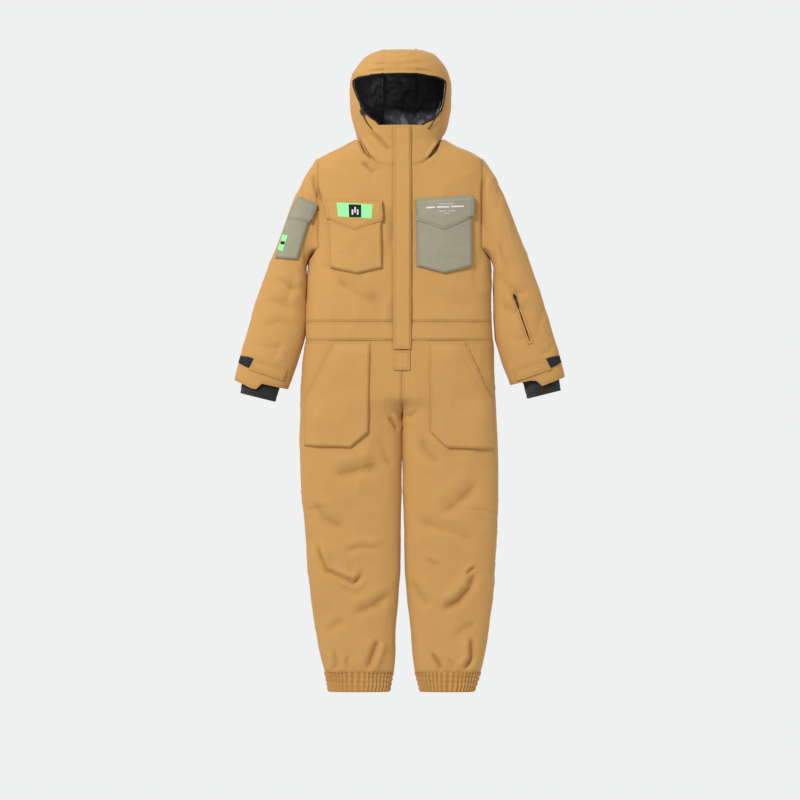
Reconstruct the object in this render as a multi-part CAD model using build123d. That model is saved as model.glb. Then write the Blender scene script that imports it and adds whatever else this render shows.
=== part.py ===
"""Hooded one-piece snow suit, hung from the loop inside its collar.

Millimetres. +Z is up, +X is towards the wearer's left and -Y is the front. Heights in the tables are measured
from the ankle hem; up() turns them into the row frame, whose origin is the centre of the hanging loop's hole.
"right" and "left" are the wearer's.
"""

import os
from math import atan2, copysign, cos, hypot, pi, sin

from build123d import *

# ---------------------------------------------------------------- driving dimensions
HOOK_HEIGHT = 1604.0  # hanging loop's centre above the ankle hem
CENTRE_X = 6.0  # zip and crotch seam, a little to the wearer's left because of the overlapping front
FRONT_Y = -88.0  # the centre front is one vertical plane from fly to collar
CLOTH = 3.0  # insulated shell fabric
LINING = 1.2
SECTION_POWER = 2.7  # superellipse power of the body's sections
RING_POINTS = 24

HEM, CUFF_TOP, KNEE, CROTCH = 0.0, 55.0, 458.0, 769.0
BAND_LOW, BAND_HIGH, UNDERARM, NECK_FRONT = 1009.0, 1063.0, 1236.0, 1506.0
COLLAR_FRONT, COLLAR_BACK, HOOD_TOP = 1628.0, 1596.0, 1843.0
ARMHOLE_X = 238.0
SHOULDER_TIP = 1537.0
JOINT_GAP = 0.5  # half the gap left where two bodies meet
LOOP_Y = 58.0  # hanging loop's centre behind the middle of the garment
BIG = 900.0

# height, half width, back depth: the bodice, then the hips
BODICE = [
    (BAND_HIGH, 268, 78),
    (1150, 266, 82),
    (1240, 262, 86),
    (1330, 259, 88),
    (1420, 258, 88),
    (1490, 256, 86),
    (1525, 246, 82),
    (1550, 212, 78),
    (1570, 166, 76),
    (1590, 128, 74),
]
# height, half width, front, back
HIPS = [
    (CROTCH, 283, -75, 77),
    (810, 283, -79, 88),
    (870, 282, -85, 94),
    (940, 277, FRONT_Y, 90),
    (BAND_LOW, 270, FRONT_Y, 80),
]
# height, half width, front, back
COLLAR = [(1470, 122, FRONT_Y, 68), (1590, 119, FRONT_Y, 69), (1650, 134, -94, 84)]
HOOD = [
    (1580, 124, -86, 72),
    (1618, 132, -90, 88),
    (1660, 141, -100, 104),
    (1700, 144, -108, 114),
    (1745, 144, -114, 118),
    (1786, 133, -120, 110),
    (1815, 112, -116, 94),
    (1834, 92, -102, 74),
    (HOOD_TOP, 74, -84, 54),
]
# height, outer edge, inner edge
RIGHT_LEG = [
    (HEM, -206, -30),
    (CUFF_TOP, -217, -20),
    (120, -235, -13),
    (190, -246, -8),
    (265, -259, -4),
    (350, -269, 0),
    (KNEE, -276, 1.5),
    (524, -282, 2),
    (640, -287, 2),
    (CROTCH, -284, 2),
]
LEFT_LEG = [
    (HEM, 212, 59),
    (CUFF_TOP, 230, 45),
    (120, 245, 33),
    (190, 255, 26),
    (265, 264, 19),
    (350, 271, 14),
    (KNEE, 275, 11),
    (524, 278, 10),
    (640, 280, 10),
    (CROTCH, 280, 10),
]
LEG_DEPTH = [38, 44, 50, 53, 55, 57, 60, 63, 68, 72]  # half depth at each leg station
# outer edge (x, height), inner edge (x, height), half depth: the right sleeve from armhole to hem
SLEEVE = [
    ((-239, 1534), (-239, 1275), 52),
    ((-281, 1475), (-267, 1240), 58),
    ((-304, 1423), (-270, 1218), 60),
    ((-327, 1368), (-271, 1201), 59),
    ((-350, 1302), (-272, 1187), 57),
    ((-371, 1247), (-272, 1174), 54),
    ((-389, 1201), (-272.5, 1160), 52),
    ((-405, 1158), (-273, 1118), 50),
    ((-430, 1071), (-274, 1035), 49),
    ((-453, 985), (-292, 966), 47),
    ((-481, 880), (-335, 850), 45),
]
ELBOW = 6  # index of the elbow station
SLEEVE_HEM = [(-500, 907), (-417, 868), (-395, 888), (-300, 866)]  # stepped hem line
GAITER = [((-452, 930), (-342, 905), 36), ((-462, 860), (-360, 835), 34)]
ZIP_HALF_GAP, ZIP_LOW = 3.0, 940.0  # slot on each side of the zip, and its lower end


def up(height):
    """Height above the ankle hem to the row frame's z."""
    return height - HOOK_HEIGHT


# ---------------------------------------------------------------- lofted cloth
def ring(edge_a, edge_b, front, back, grow=0.0, power=SECTION_POWER):
    """Closed section between two edge points (x, height), front to back, grown outwards by grow."""
    (xa, ha), (xb, hb) = edge_a, edge_b
    width = hypot(xb - xa, hb - ha)
    along = ((xb - xa) / width, (hb - ha) / width)
    half, middle = width / 2 + grow, (front + back) / 2
    depth = (back - front) / 2 + grow
    points = []
    for i in range(RING_POINTS):
        angle = 2 * pi * i / RING_POINTS
        c, s = cos(angle), sin(angle)
        u = half * copysign(abs(c) ** (2 / power), c)
        v = depth * copysign(abs(s) ** (2 / power), s)
        x = (xa + xb) / 2 + along[0] * u
        h = (ha + hb) / 2 + along[1] * u
        points.append((x, middle + v, up(h)))
    return Wire(Polyline(*points, close=True))


def tube(stations, grow=0.0, per_loft=4):
    """Solid through stations of (edge, edge, front, back), lofted a few at a time."""
    rings = [ring(a, b, front, back, grow) for a, b, front, back in stations]
    solid = None
    for first in range(0, len(rings) - 1, per_loft - 1):
        piece = Solid.make_loft(rings[first : first + per_loft], ruled=True)
        solid = piece if solid is None else solid + piece
    return solid


def wall(stations, thickness=CLOTH, outside=0.0):
    """Open tube of cloth whose outer face is outside the stations by outside."""
    return tube(stations, outside) - tube(stations, outside - thickness)


def level(height, half, front, back):
    return ((-half, height), (half, height), front, back)


def bodice():
    return [level(h, half, FRONT_Y, back) for h, half, back in BODICE]


def collar():
    return [level(*row) for row in COLLAR]


def hips():
    return [level(*row) for row in HIPS]


def waistband():
    return [level(BAND_LOW, 270, FRONT_Y, 80), level(BAND_HIGH, 268, FRONT_Y, 78)]


def hood(top=HOOD_TOP):
    rows = [level(*row) for row in HOOD[:-1]]
    return rows + [level(top, *HOOD[-1][1:])]


def leg(side, low, high):
    """Stations of one leg between two heights of its table, both included."""
    table = RIGHT_LEG if side == "right" else LEFT_LEG
    rows = [(row, depth) for row, depth in zip(table, LEG_DEPTH) if low <= row[0] <= high]
    return [((outer, h), (inner, h), -depth, depth) for (h, outer, inner), depth in rows]


def sleeve(first, last):
    return [(outer, inner, -depth, depth) for outer, inner, depth in SLEEVE[first : last + 1]]


def trousers(grow=0.0, web=0.0):
    """Solid of the hips and both legs down to the elastic hems; web lifts the floor between the legs."""
    rows = hips()
    rows[0] = level(CROTCH + web, *HIPS[0][1:])
    solid = tube(rows, grow)
    for side, outer, inner in (("right", -277, 2), ("left", 274, 10)):
        inside = ((outer, 802), (inner, 802), -68, 68)
        solid += tube(leg(side, CUFF_TOP, CROTCH) + [inside], grow)
    return solid


def block(x_low, x_high, y_low, y_high, low, high):
    """Box between two x, two y and two heights."""
    size = (x_high - x_low, y_high - y_low, high - low)
    middle = ((x_low + x_high) / 2, (y_low + y_high) / 2, up((low + high) / 2))
    return Pos(*middle) * Box(*size)


def prism(outline, y_low=-900.0, y_high=0.0):
    """Outline of (x, height) points carried from y_low to y_high."""
    face = make_face(Polyline(*[(x, y_low, up(h)) for x, h in outline], close=True))
    return Solid.extrude(face.face(), Vector(0, y_high - y_low, 0))


def side_prism(outline, x_low=-700.0, x_high=700.0):
    """Outline of (y, height) points carried across the suit."""
    face = make_face(Polyline(*[(x_low, y, up(h)) for y, h in outline], close=True))
    return Solid.extrude(face.face(), Vector(x_high - x_low, 0, 0))


def flipped(shape):
    return mirror(shape, about=Plane.YZ)


def flip_outline(outline):
    return [(-x, h) for x, h in outline]


def inset(outline, by, lift_from=None, lift=60.0):
    """Outline drawn in towards its middle by about by; points at or above lift_from are raised instead."""
    mx = sum(x for x, _ in outline) / len(outline)
    mh = sum(h for _, h in outline) / len(outline)
    result = []
    for x, h in outline:
        if lift_from is not None and h >= lift_from:
            result.append((x - copysign(by, x - mx), h + lift))
        else:
            result.append((x - copysign(by, x - mx), h - copysign(by, h - mh)))
    return result


PARTS = {}


def keep(name, shape):
    """Files one node, moved so that the loop's hole is on the row's origin."""
    PARTS[name] = Pos(0, -LOOP_Y, 0) * shape


# ---------------------------------------------------------------- bodice
ARMHOLE = [(-ARMHOLE_X, 1650), (-ARMHOLE_X, 1275), (-265, 1238), (-500, 1238), (-500, 1650)]
NECKLINE = [(-140, 1660), (-122, 1588), (-104, 1548), (-62, 1516), (0, 1506)]
NECKLINE += [(-x, h) for x, h in reversed(NECKLINE[:-1])]
zip_room = block(CENTRE_X - ZIP_HALF_GAP, CENTRE_X + ZIP_HALF_GAP, -BIG, -20, ZIP_LOW, 1700)

body = wall(bodice()) - prism(ARMHOLE, -BIG, BIG) - prism(flip_outline(ARMHOLE), -BIG, BIG)
front = body - prism(NECKLINE) - block(-BIG, BIG, 0, BIG, 900, 1700) - zip_room
keep("bodice_front_right", front & block(-BIG, CENTRE_X, -BIG, 0, 900, 1700))
keep("bodice_front_left", front & block(CENTRE_X, BIG, -BIG, 0, 900, 1700))
back = body & block(-BIG, BIG, 0, BIG, 900, 1700)
YOKE = 1424.0
keep("bodice_back", back & block(-BIG, BIG, 0, BIG, 900, YOKE))
keep("back_yoke", back & block(-BIG, BIG, 0, BIG, YOKE, 1700))

band = wall(waistband())
band_front = (band & block(-BIG, BIG, -BIG, 0, 900, 1100)) - zip_room
keep("waistband_front_right", band_front & block(-BIG, CENTRE_X, -BIG, 0, 900, 1100))
keep("waistband_front_left", band_front & block(CENTRE_X, BIG, -BIG, 0, 900, 1100))
keep("waistband_back", band & block(-BIG, BIG, 0, BIG, 900, 1100))

neck = wall(collar())
neck_front = (neck & prism(NECKLINE)) - zip_room
HOOD_LINE = [(-300, 1628 + 34), (-100, 1628), (90, 1596), (300, 1561)]  # y, height of the hood seam


def below_hood(gap):
    return side_prism([(y, h - gap) for y, h in HOOD_LINE] + [(300, 1300), (-300, 1300)])


keep("collar_front", neck_front & below_hood(JOINT_GAP))
neck_back = neck & block(-BIG, BIG, 0, BIG, 1552, 1700)
keep("collar_back", neck_back & below_hood(JOINT_GAP))

# ---------------------------------------------------------------- trousers and lower legs
shell = trousers() - trousers(-CLOTH, web=CLOTH)
upper = shell & block(-BIG, BIG, -BIG, BIG, KNEE + JOINT_GAP, 1100)
for side, x_low, x_high in (("right", -BIG, CENTRE_X), ("left", CENTRE_X, BIG)):
    keep("trouser_front_" + side, (upper & block(x_low, x_high, -BIG, 0, 0, 1100)) - zip_room)
    keep("trouser_back_" + side, upper & block(x_low, x_high, 0, BIG, 0, 1100))
    lower = wall(leg(side, CUFF_TOP, KNEE)) - block(-BIG, BIG, -BIG, BIG, KNEE - JOINT_GAP, 500)
    keep("lower_leg_front_" + side, lower & block(-BIG, BIG, -BIG, 0, 0, 500))
    keep("lower_leg_back_" + side, lower & block(-BIG, BIG, 0, BIG, 0, 500))
    keep("ankle_hem_" + side, wall(leg(side, HEM, CUFF_TOP), CLOTH + 1, 0.5))

# ---------------------------------------------------------------- sleeves
CAP = [(-ARMHOLE_X - JOINT_GAP, 1700), (-ARMHOLE_X - JOINT_GAP, 1200), (-700, 1200), (-700, 1700)]
hem_cut = prism(SLEEVE_HEM + [(-300, 700), (-600, 700), (-600, 907)], -BIG, BIG)
elbow_outer, elbow_inner, elbow_depth = SLEEVE[ELBOW]
elbow_angle = atan2(elbow_outer[1] - elbow_inner[1], elbow_outer[0] - elbow_inner[0])
elbow_up = (sin(elbow_angle), -cos(elbow_angle))  # unit normal of the elbow's plane, up the arm


def arm_side(gap, upper_arm):
    """Everything above, or below, the elbow's plane by gap."""
    ox, oh = elbow_outer
    ax, ah = cos(elbow_angle), sin(elbow_angle)
    nx, nh = (elbow_up[0], elbow_up[1]) if upper_arm else (-elbow_up[0], -elbow_up[1])
    corners = [(-300, gap), (300, gap), (300, gap + 600), (-300, gap + 600)]
    return prism([(ox + ax * u + nx * v, oh + ah * u + nh * v) for u, v in corners], -BIG, BIG)


upper_arm = (wall(sleeve(0, ELBOW)) & arm_side(JOINT_GAP, True)) - block(
    -ARMHOLE_X - JOINT_GAP, 0, -BIG, BIG, 1100, 1700
)
forearm = (wall(sleeve(ELBOW, 10)) & arm_side(JOINT_GAP, False)) - hem_cut
gaiter = wall([(a, b, -d, d) for a, b, d in GAITER], 2.0)
TAB = [(-424, 958), (-331, 931.7), (-340, 896), (-437, 926)]
TAB_END = [(-470, 975), (-425, 958.3), (-438, 926.3), (-480, 935)]
cuff_tab = wall(sleeve(ELBOW, 10), 2.0, 2.5) & prism(TAB)
cuff_tab_end = wall(sleeve(ELBOW, 10), 2.0, 2.5) & prism(TAB_END)
pieces = {
    "upper_sleeve": upper_arm,
    "forearm_sleeve": forearm,
    "wrist_gaiter": gaiter,
    "cuff_tab": cuff_tab,
    "cuff_tab_end": cuff_tab_end,
}
for name, shape in pieces.items():
    keep(name + "_right", shape)
    keep(name + "_left", flipped(shape))


# ---------------------------------------------------------------- patch pockets
def pocket(surface, outline, depth, opening_from, lift=60.0):
    """Bellows pocket on a surface (a function of grow), open above the outline's points at opening_from."""
    outside = surface(depth) & prism(outline)
    hollow = surface(depth - 1.6) & prism(inset(outline, 3.0, opening_from, lift))
    return outside - surface(0.05) - hollow


def chest(grow):
    return tube(bodice(), grow)


POCKET_DEPTH = 14.0
RIGHT_CHEST = [(-207, 1411), (-52, 1409), (-50.5, 1217), (-124, 1200), (-199, 1218)]
RIGHT_FLAP = [(-210, 1412), (-50, 1410), (-48, 1354), (-130, 1326), (-202, 1356)]
LEFT_CHEST = [(45.5, 1413), (203, 1425), (205, 1221.5), (125.6, 1200.4), (47.5, 1221.5)]
LEFT_FLAP = [(44, 1414), (205, 1426), (206, 1365), (126.4, 1327), (46, 1355)]
flap_cloth = chest(POCKET_DEPTH + 2.6) - chest(POCKET_DEPTH + 0.8)
keep("chest_pocket_right", pocket(chest, RIGHT_CHEST, POCKET_DEPTH, 1400))
keep("chest_pocket_left", pocket(chest, LEFT_CHEST, POCKET_DEPTH, 1400))
keep("chest_flap_right", flap_cloth & prism(RIGHT_FLAP))
keep("chest_flap_left", flap_cloth & prism(LEFT_FLAP))
label_cloth = chest(POCKET_DEPTH + 3.8) - chest(POCKET_DEPTH + 2.65)
BADGE = [(-146, 1399), (-111, 1397), (-111, 1362), (-145, 1363)]
LABEL = [(-181, 1404), (-78, 1398), (-81, 1358), (-177, 1364)]
keep("chest_label", (label_cloth & prism(LABEL)) - prism(BADGE))
keep("chest_badge", label_cloth & prism(BADGE))


def arm(grow):
    return tube(sleeve(1, 5), grow)


ARM_DEPTH = 10.0
ARM_POCKET = [(-300, 1424), (-246, 1398), (-262, 1347), (-293, 1240), (-369, 1244), (-331, 1356)]
ARM_FLAP = [(-300, 1428), (-242, 1400), (-257, 1349), (-331, 1358)]
keep("sleeve_pocket", pocket(arm, ARM_POCKET, ARM_DEPTH, 1390))
keep("sleeve_pocket_flap", (arm(ARM_DEPTH + 2.6) - arm(ARM_DEPTH + 0.8)) & prism(ARM_FLAP))
ARM_LABEL = [(-344, 1315), (-328, 1312), (-346, 1266), (-363, 1271)]
keep("sleeve_label", (arm(ARM_DEPTH + 1.2) - arm(ARM_DEPTH + 0.02)) & prism(ARM_LABEL))

# zipped pocket on the left forearm, drawn on the right one and flipped
ZIP_FROM, ZIP_TO = (-324, 1150), (-374, 1004)  # x, height of the pocket zip's ends


def zip_quad(t_low, t_high, half):
    """Rectangle along the pocket zip, between two shares of its length."""
    dx, dh = ZIP_TO[0] - ZIP_FROM[0], ZIP_TO[1] - ZIP_FROM[1]
    length = hypot(dx, dh)
    nx, nh = -dh / length * half, dx / length * half
    ends = [(ZIP_FROM[0] + dx * t, ZIP_FROM[1] + dh * t) for t in (t_low, t_high)]
    (ax, ah), (bx, bh) = ends
    return [(ax + nx, ah + nh), (bx + nx, bh + nh), (bx - nx, bh - nh), (ax - nx, ah - nh)]


def lower_arm(grow):
    return tube(sleeve(ELBOW, 10), grow)


welt = (lower_arm(1.8) - lower_arm(0.05)) & prism(zip_quad(0, 1, 10))
keep("sleeve_zip_welt", flipped(welt - prism(zip_quad(0.04, 0.96, 3))))
keep("sleeve_zip_teeth", flipped((lower_arm(1.4) - lower_arm(0.1)) & prism(zip_quad(0.05, 0.95, 2.6))))
sleeve_slider = prism(zip_quad(0.06, 0.14, 4), -57.4, -55.0)
keep("sleeve_zip_slider", flipped(sleeve_slider + prism(zip_quad(0.08, 0.28, 2.5), -58.6, -57.3)))

hand_right = [(-190, 1005), (-84, 1005), (-91, 750), (-143, 704), (-274, 708), (-268, 848)]
hand_left = [(186, 1005), (83, 1005), (88, 747), (133, 702.5), (270, 698), (264, 832)]
HAND_DEPTH = 12.0
trouser_0, trouser_mid, trouser_out = trousers(0.05), trousers(HAND_DEPTH - 1.6), trousers(HAND_DEPTH)
for side, outline, sign in (("right", hand_right, -1), ("left", hand_left, 1)):
    hollow = inset(outline, 3.0)
    hollow[0] = (hollow[0][0] + sign * 60, hollow[0][1] + 12)
    hollow[5] = (hollow[5][0] + sign * 60, hollow[5][1] + 12)
    bag = (trouser_out & prism(outline)) - trouser_0 - (trouser_mid & prism(hollow))
    keep("hand_pocket_" + side, bag)

# ---------------------------------------------------------------- hood
hood_shell = tube(hood()) - tube(hood(HOOD_TOP - CLOTH), -CLOTH)
face = [(-37, 1560), (-69, 1637), (-95, 1657), (-109, 1681), (-124, 1729), (-126, 1767), (-100, 1779)]
face += [(0, 1780), (100, 1779), (120, 1767), (124, 1729), (119, 1686), (105, 1651), (84, 1637), (55, 1560)]
above = block(-BIG, BIG, -BIG, BIG, 1500, 1900) - below_hood(-JOINT_GAP)
hood_shell = (hood_shell & above) - prism(face)
CENTRE_PANEL = 46.0
keep("hood_centre", hood_shell & block(-CENTRE_PANEL, CENTRE_PANEL, -BIG, BIG, 1500, 1900))
keep("hood_side_right", hood_shell & block(-BIG, -CENTRE_PANEL, -BIG, BIG, 1500, 1900))
keep("hood_side_left", hood_shell & block(CENTRE_PANEL, BIG, -BIG, BIG, 1500, 1900))
lining = tube(hood(HOOD_TOP - CLOTH - 0.2), -CLOTH - 0.2) - tube(hood(HOOD_TOP - CLOTH - 1.4), -CLOTH - 1.4)
keep("hood_lining", ((lining & above) - prism(face)) & block(-BIG, BIG, -BIG, BIG, 1640, 1900))
BRIM = [(-100, 1781), (100, 1781), (80, 1812), (-80, 1812)]
keep("hood_brim", (tube(hood(), 3.6) - tube(hood(), 0.4)) & prism(BRIM, -BIG, -70))

# drawcords, each through its own cord lock
CORD_R = 1.5
CORD = [(-116, -80, 1694), (-113, -89, 1676), (-99, -90, 1634), (-80, -88, 1614)]
CORD_BENDS = [6.0, 10.0]
LOCK_R, LOCK_LENGTH, LOCK_BORE, LOCK_START = 5.5, 16.0, 1.9, 6.0
points = [Vector(x, y, up(h)) for x, y, h in CORD]
path = FilletPolyline(*points, radius=CORD_BENDS)
cord = sweep(Plane(path @ 0, z_dir=path % 0) * Circle(CORD_R), path)
run = (points[2] - points[1]).normalized()
lock_plane = Plane(points[1] + run * (LOCK_START + LOCK_LENGTH / 2), z_dir=run)
lock = Cylinder(LOCK_R, LOCK_LENGTH) + Pos(0, 0, LOCK_LENGTH / 2 - 3) * Cylinder(LOCK_R + 1, 3)
lock = lock_plane * (lock - Cylinder(LOCK_BORE, 2 * LOCK_LENGTH))
keep("drawcord_right", cord)
keep("drawcord_left", flipped(cord))
keep("cord_lock_right", lock)
keep("cord_lock_left", flipped(lock))

# ---------------------------------------------------------------- centre front
def strip(x_low, x_high, y_low, y_high, low, high):
    return block(x_low, x_high, y_low, y_high, low, high)


keep("zip_tapes", strip(CENTRE_X - 14, CENTRE_X + 14, -83.9, -83.1, ZIP_LOW + 4, 1616))
keep("zip_teeth", strip(CENTRE_X - 2.4, CENTRE_X + 2.4, -87.4, -83.95, ZIP_LOW + 8, 1614))
SLIDER_TOP = 1586.0
slider = strip(CENTRE_X - 5, CENTRE_X + 5, -90.4, -88.2, SLIDER_TOP - 14, SLIDER_TOP)
puller = strip(CENTRE_X - 3, CENTRE_X + 3, -91.6, -90.3, SLIDER_TOP - 44, SLIDER_TOP - 3)
keep("zip_slider", slider + puller)
PLACKET_LOW, PLACKET_HIGH, PLACKET_FREE, PLACKET_SEWN = 985.0, 1626.0, -19.0, 32.0
keep("placket", strip(PLACKET_FREE, PLACKET_SEWN, -97, -93.2, PLACKET_LOW, PLACKET_HIGH))
hooks = [1010, 1160, 1310, 1460]
patch = [strip(-16, -3, -89.4, -88.2, h, h + 60) for h in hooks]
keep("placket_hook_patches", patch[0] + patch[1] + patch[2] + patch[3])
patch = [strip(-16, -3, -93.15, -92.0, h, h + 60) for h in hooks]
keep("placket_loop_patches", patch[0] + patch[1] + patch[2] + patch[3])
keep("fly_patch", strip(-17, 29, -91.4, -88.2, 925, 982))

# ---------------------------------------------------------------- hanging loop
LOOP_R, TAPE = 9.0, 1.5
outer = Pos(0, LOOP_Y, 0) * Rot(90, 0, 0) * Cylinder(LOOP_R + TAPE, 8)
hole = Pos(0, LOOP_Y, 0) * Rot(90, 0, 0) * Cylinder(LOOP_R, 20)
tail = block(-2.4, 2.4, LOOP_Y - 4, 65.5, HOOK_HEIGHT - 34, HOOK_HEIGHT - 20)
tail += block(-2.4, 2.4, LOOP_Y - 4, LOOP_Y + 4, HOOK_HEIGHT - 24, HOOK_HEIGHT - LOOP_R)
keep("hang_loop", (outer + tail) - hole)

if __name__ == "__main__":
    os.makedirs("parts", exist_ok=True)
    for name, shape in PARTS.items():
        export_step(shape, "parts/" + name + ".step")
        print(name, round(shape.volume), len(shape.solids()), shape.is_valid)
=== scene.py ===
"""Hooded one-piece snow suit: cloth, seams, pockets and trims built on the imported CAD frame."""

import math

import bpy
import numpy as np
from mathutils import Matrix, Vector
from mathutils.bvhtree import BVHTree


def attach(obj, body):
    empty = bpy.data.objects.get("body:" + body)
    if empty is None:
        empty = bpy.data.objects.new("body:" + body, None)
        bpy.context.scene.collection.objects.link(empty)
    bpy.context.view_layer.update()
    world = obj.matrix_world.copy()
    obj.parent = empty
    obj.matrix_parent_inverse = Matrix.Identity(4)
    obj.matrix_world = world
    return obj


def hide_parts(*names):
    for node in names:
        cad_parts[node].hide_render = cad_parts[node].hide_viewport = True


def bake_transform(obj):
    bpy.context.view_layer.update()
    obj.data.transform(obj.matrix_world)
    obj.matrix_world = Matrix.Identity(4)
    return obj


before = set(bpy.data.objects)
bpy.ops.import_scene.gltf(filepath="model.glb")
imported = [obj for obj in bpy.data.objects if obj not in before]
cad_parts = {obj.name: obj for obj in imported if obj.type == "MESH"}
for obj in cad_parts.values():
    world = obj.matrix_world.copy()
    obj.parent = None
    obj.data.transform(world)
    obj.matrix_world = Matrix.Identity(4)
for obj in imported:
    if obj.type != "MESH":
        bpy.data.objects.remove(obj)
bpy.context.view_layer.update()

# Garment coordinates are millimetres: x to the wearer's left, y to the back, h above the ankle hem.
MM, LOOP_Y, HOOK = 0.001, 58.0, 1604.0
CENTRE_X = 6.0


def row(p):
    """Garment millimetres to the row frame's metres."""
    q = np.array(p, float)
    q[..., 1] -= LOOP_Y
    q[..., 2] -= HOOK
    return q * MM


def smooth(table):
    """Monotone cubic through rows of (t, a, b, ...)."""
    t = np.array([r[0] for r in table], float)
    v = np.array([r[1:] for r in table], float)
    d = np.diff(v, axis=0) / np.diff(t)[:, None]
    m = np.zeros_like(v)
    with np.errstate(divide="ignore", invalid="ignore"):
        mean = 2 * d[:-1] * d[1:] / (d[:-1] + d[1:])
    m[1:-1] = np.where(d[:-1] * d[1:] > 0, mean, 0)
    m[0], m[-1] = d[0], d[-1]

    def at(x):
        x = np.clip(np.asarray(x, float), t[0], t[-1])
        i = np.clip(np.searchsorted(t, x) - 1, 0, len(t) - 2)
        w = (t[i + 1] - t[i])[..., None]
        s = ((x - t[i]) / (t[i + 1] - t[i]))[..., None]
        a = (2 * s**3 - 3 * s**2 + 1) * v[i] + (s**3 - 2 * s**2 + s) * w * m[i]
        return a + (3 * s**2 - 2 * s**3) * v[i + 1] + (s**3 - s**2) * w * m[i + 1]

    return at


def step(a, b, x):
    t = np.clip((np.asarray(x, float) - a) / (b - a), 0, 1)
    return t * t * (3 - 2 * t)


def bell(x, width):
    """1 where x is 0, falling away over width."""
    return np.exp(-((x / width) ** 2))


# ---- sections (height, right edge, left edge, front, back)
TORSO = smooth([
    (1009, -271, 267, -88, 80), (1063, -271, 265, -88, 78), (1150, -268, 264, -88, 82), (1240, -264, 262, -88, 86),
    (1330, -260, 260, -88, 88), (1420, -258, 258, -88, 88), (1490, -255, 255, -88, 86), (1525, -243, 243, -88, 82),
    (1550, -207, 207, -87, 78), (1570, -160, 160, -86, 76), (1592, -122, 122, -86, 73),
])
HIPS = smooth([
    (769, -287, 281, -75, 77), (810, -287, 279, -79, 88), (870, -285, 274, -85, 94), (940, -280, 269, -88, 90),
    (1009, -271, 267, -88, 80),
])
RIGHT_LEG = smooth([
    (0, -206, -30, 38), (55, -217, -20, 44), (120, -235, -13, 50), (190, -246, -9, 53), (265, -258, -4, 55),
    (350, -268, 0, 57), (458, -275, 2, 60), (524, -280, 4, 63), (600, -286, 6.4, 67), (690, -288, 6.8, 70),
    (769, -287, 6.8, 73), (860, -285, 6.8, 86),
])
LEFT_LEG = smooth([
    (0, 58, 214, 38), (55, 44, 232, 44), (120, 34, 247, 50), (190, 27, 256, 53), (265, 20, 266, 55),
    (350, 15, 272, 57), (458, 12, 277, 60), (524, 9, 280, 63), (600, 5.6, 282, 67), (690, 5.2, 283, 70),
    (769, 5.2, 281, 73), (860, 5.2, 275, 86),
])
# share of length, outer x and height, inner x and height, half depth: the right sleeve, drawn flat
SLEEVE = smooth([
    (0.00, -239, 1533, -239, 1275, 52), (0.06, -272, 1490, -262, 1243, 57), (0.14, -303, 1425, -270, 1218, 60),
    (0.23, -326, 1368, -269, 1201, 59), (0.32, -349, 1302, -268, 1187, 57), (0.40, -371, 1245, -267, 1170, 54),
    (0.48, -391, 1188, -267, 1140, 52), (0.58, -412, 1127, -268, 1090, 50), (0.72, -436, 1048, -273, 1028, 49),
    (0.86, -459, 968, -294, 952, 47), (1.00, -481, 880, -326, 858, 45),
])


def sup(c, s, n=2.7):
    """Superellipse point for cosines and sines."""
    return np.sign(c) * np.abs(c) ** (2 / n), np.sign(s) * np.abs(s) ** (2 / n)


def half_section(x0, x1, yf, yb, face):
    """Front (face -1) or back (face 1) half of a section, from x0 to x1."""
    a = np.linspace(np.pi, 0, 150)
    u, v = sup(np.cos(a), np.sin(a))
    mid = (yf + yb) / 2
    depth = (yb - yf) / 2
    return np.stack([(x0 + x1) / 2 + (x1 - x0) / 2 * u, mid + face * depth * v], 1)


def trim(poly, x0, x1):
    """The part of a polyline, rising in x, between x0 and x1."""
    xs = np.concatenate([[x0], poly[(poly[:, 0] > x0) & (poly[:, 0] < x1), 0], [x1]])
    return np.stack([xs, np.interp(xs, poly[:, 0], poly[:, 1])], 1)


def across(table, h, face, x0=None, x1=None):
    """Half of the section at height h, cut to x0 and x1."""
    xr, xl, yf, yb = table(h)
    return trim(half_section(xr, xl, yf, yb, face), xr if x0 is None else x0, xl if x1 is None else x1)


def at_height(line, h):
    return np.column_stack([line, np.full(len(line), h)])


def resample(poly, shares):
    seg = np.linalg.norm(np.diff(poly, axis=0), axis=1)
    s = np.concatenate([[0], np.cumsum(seg)])
    return np.stack([np.interp(np.asarray(shares) * s[-1], s, poly[:, i]) for i in range(poly.shape[1])], 1)


def shares(length, spacing=5.0, edge=(1.0, 2.2, 3.8, 6.5)):
    """Positions 0 to 1 along a length in mm, closer together at both ends."""
    inner = np.linspace(edge[-1], length - edge[-1], max(2, int(round((length - 2 * edge[-1]) / spacing))))[1:-1]
    at = np.concatenate([[0], edge, inner, length - np.array(edge)[::-1], [length]])
    return at / length


# ---- noise and folds
def lattice(p, size, seed):
    """Smooth value noise from -1 to 1 at points p, in mm, with cells of that size."""
    q = np.asarray(p, float) / np.asarray(size, float)
    i = np.floor(q).astype(np.int64)
    f = q - i
    f = f * f * f * (f * (f * 6 - 15) + 10)
    total = 0.0
    for dx in (0, 1):
        for dy in (0, 1):
            for dz in (0, 1):
                n = (i[..., 0] + dx) * 374761393 + (i[..., 1] + dy) * 668265263 + (i[..., 2] + dz) * 2147483647
                n = (n + seed * 974634777) & 0xFFFFFFFF
                n = ((n ^ (n >> 13)) * 1274126177) & 0xFFFFFFFF
                n = (n ^ (n >> 16)) & 0xFFFF
                w = np.where(dx, f[..., 0], 1 - f[..., 0]) * np.where(dy, f[..., 1], 1 - f[..., 1])
                total = total + w * np.where(dz, f[..., 2], 1 - f[..., 2]) * (n / 32767.5 - 1)
    return total


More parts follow.
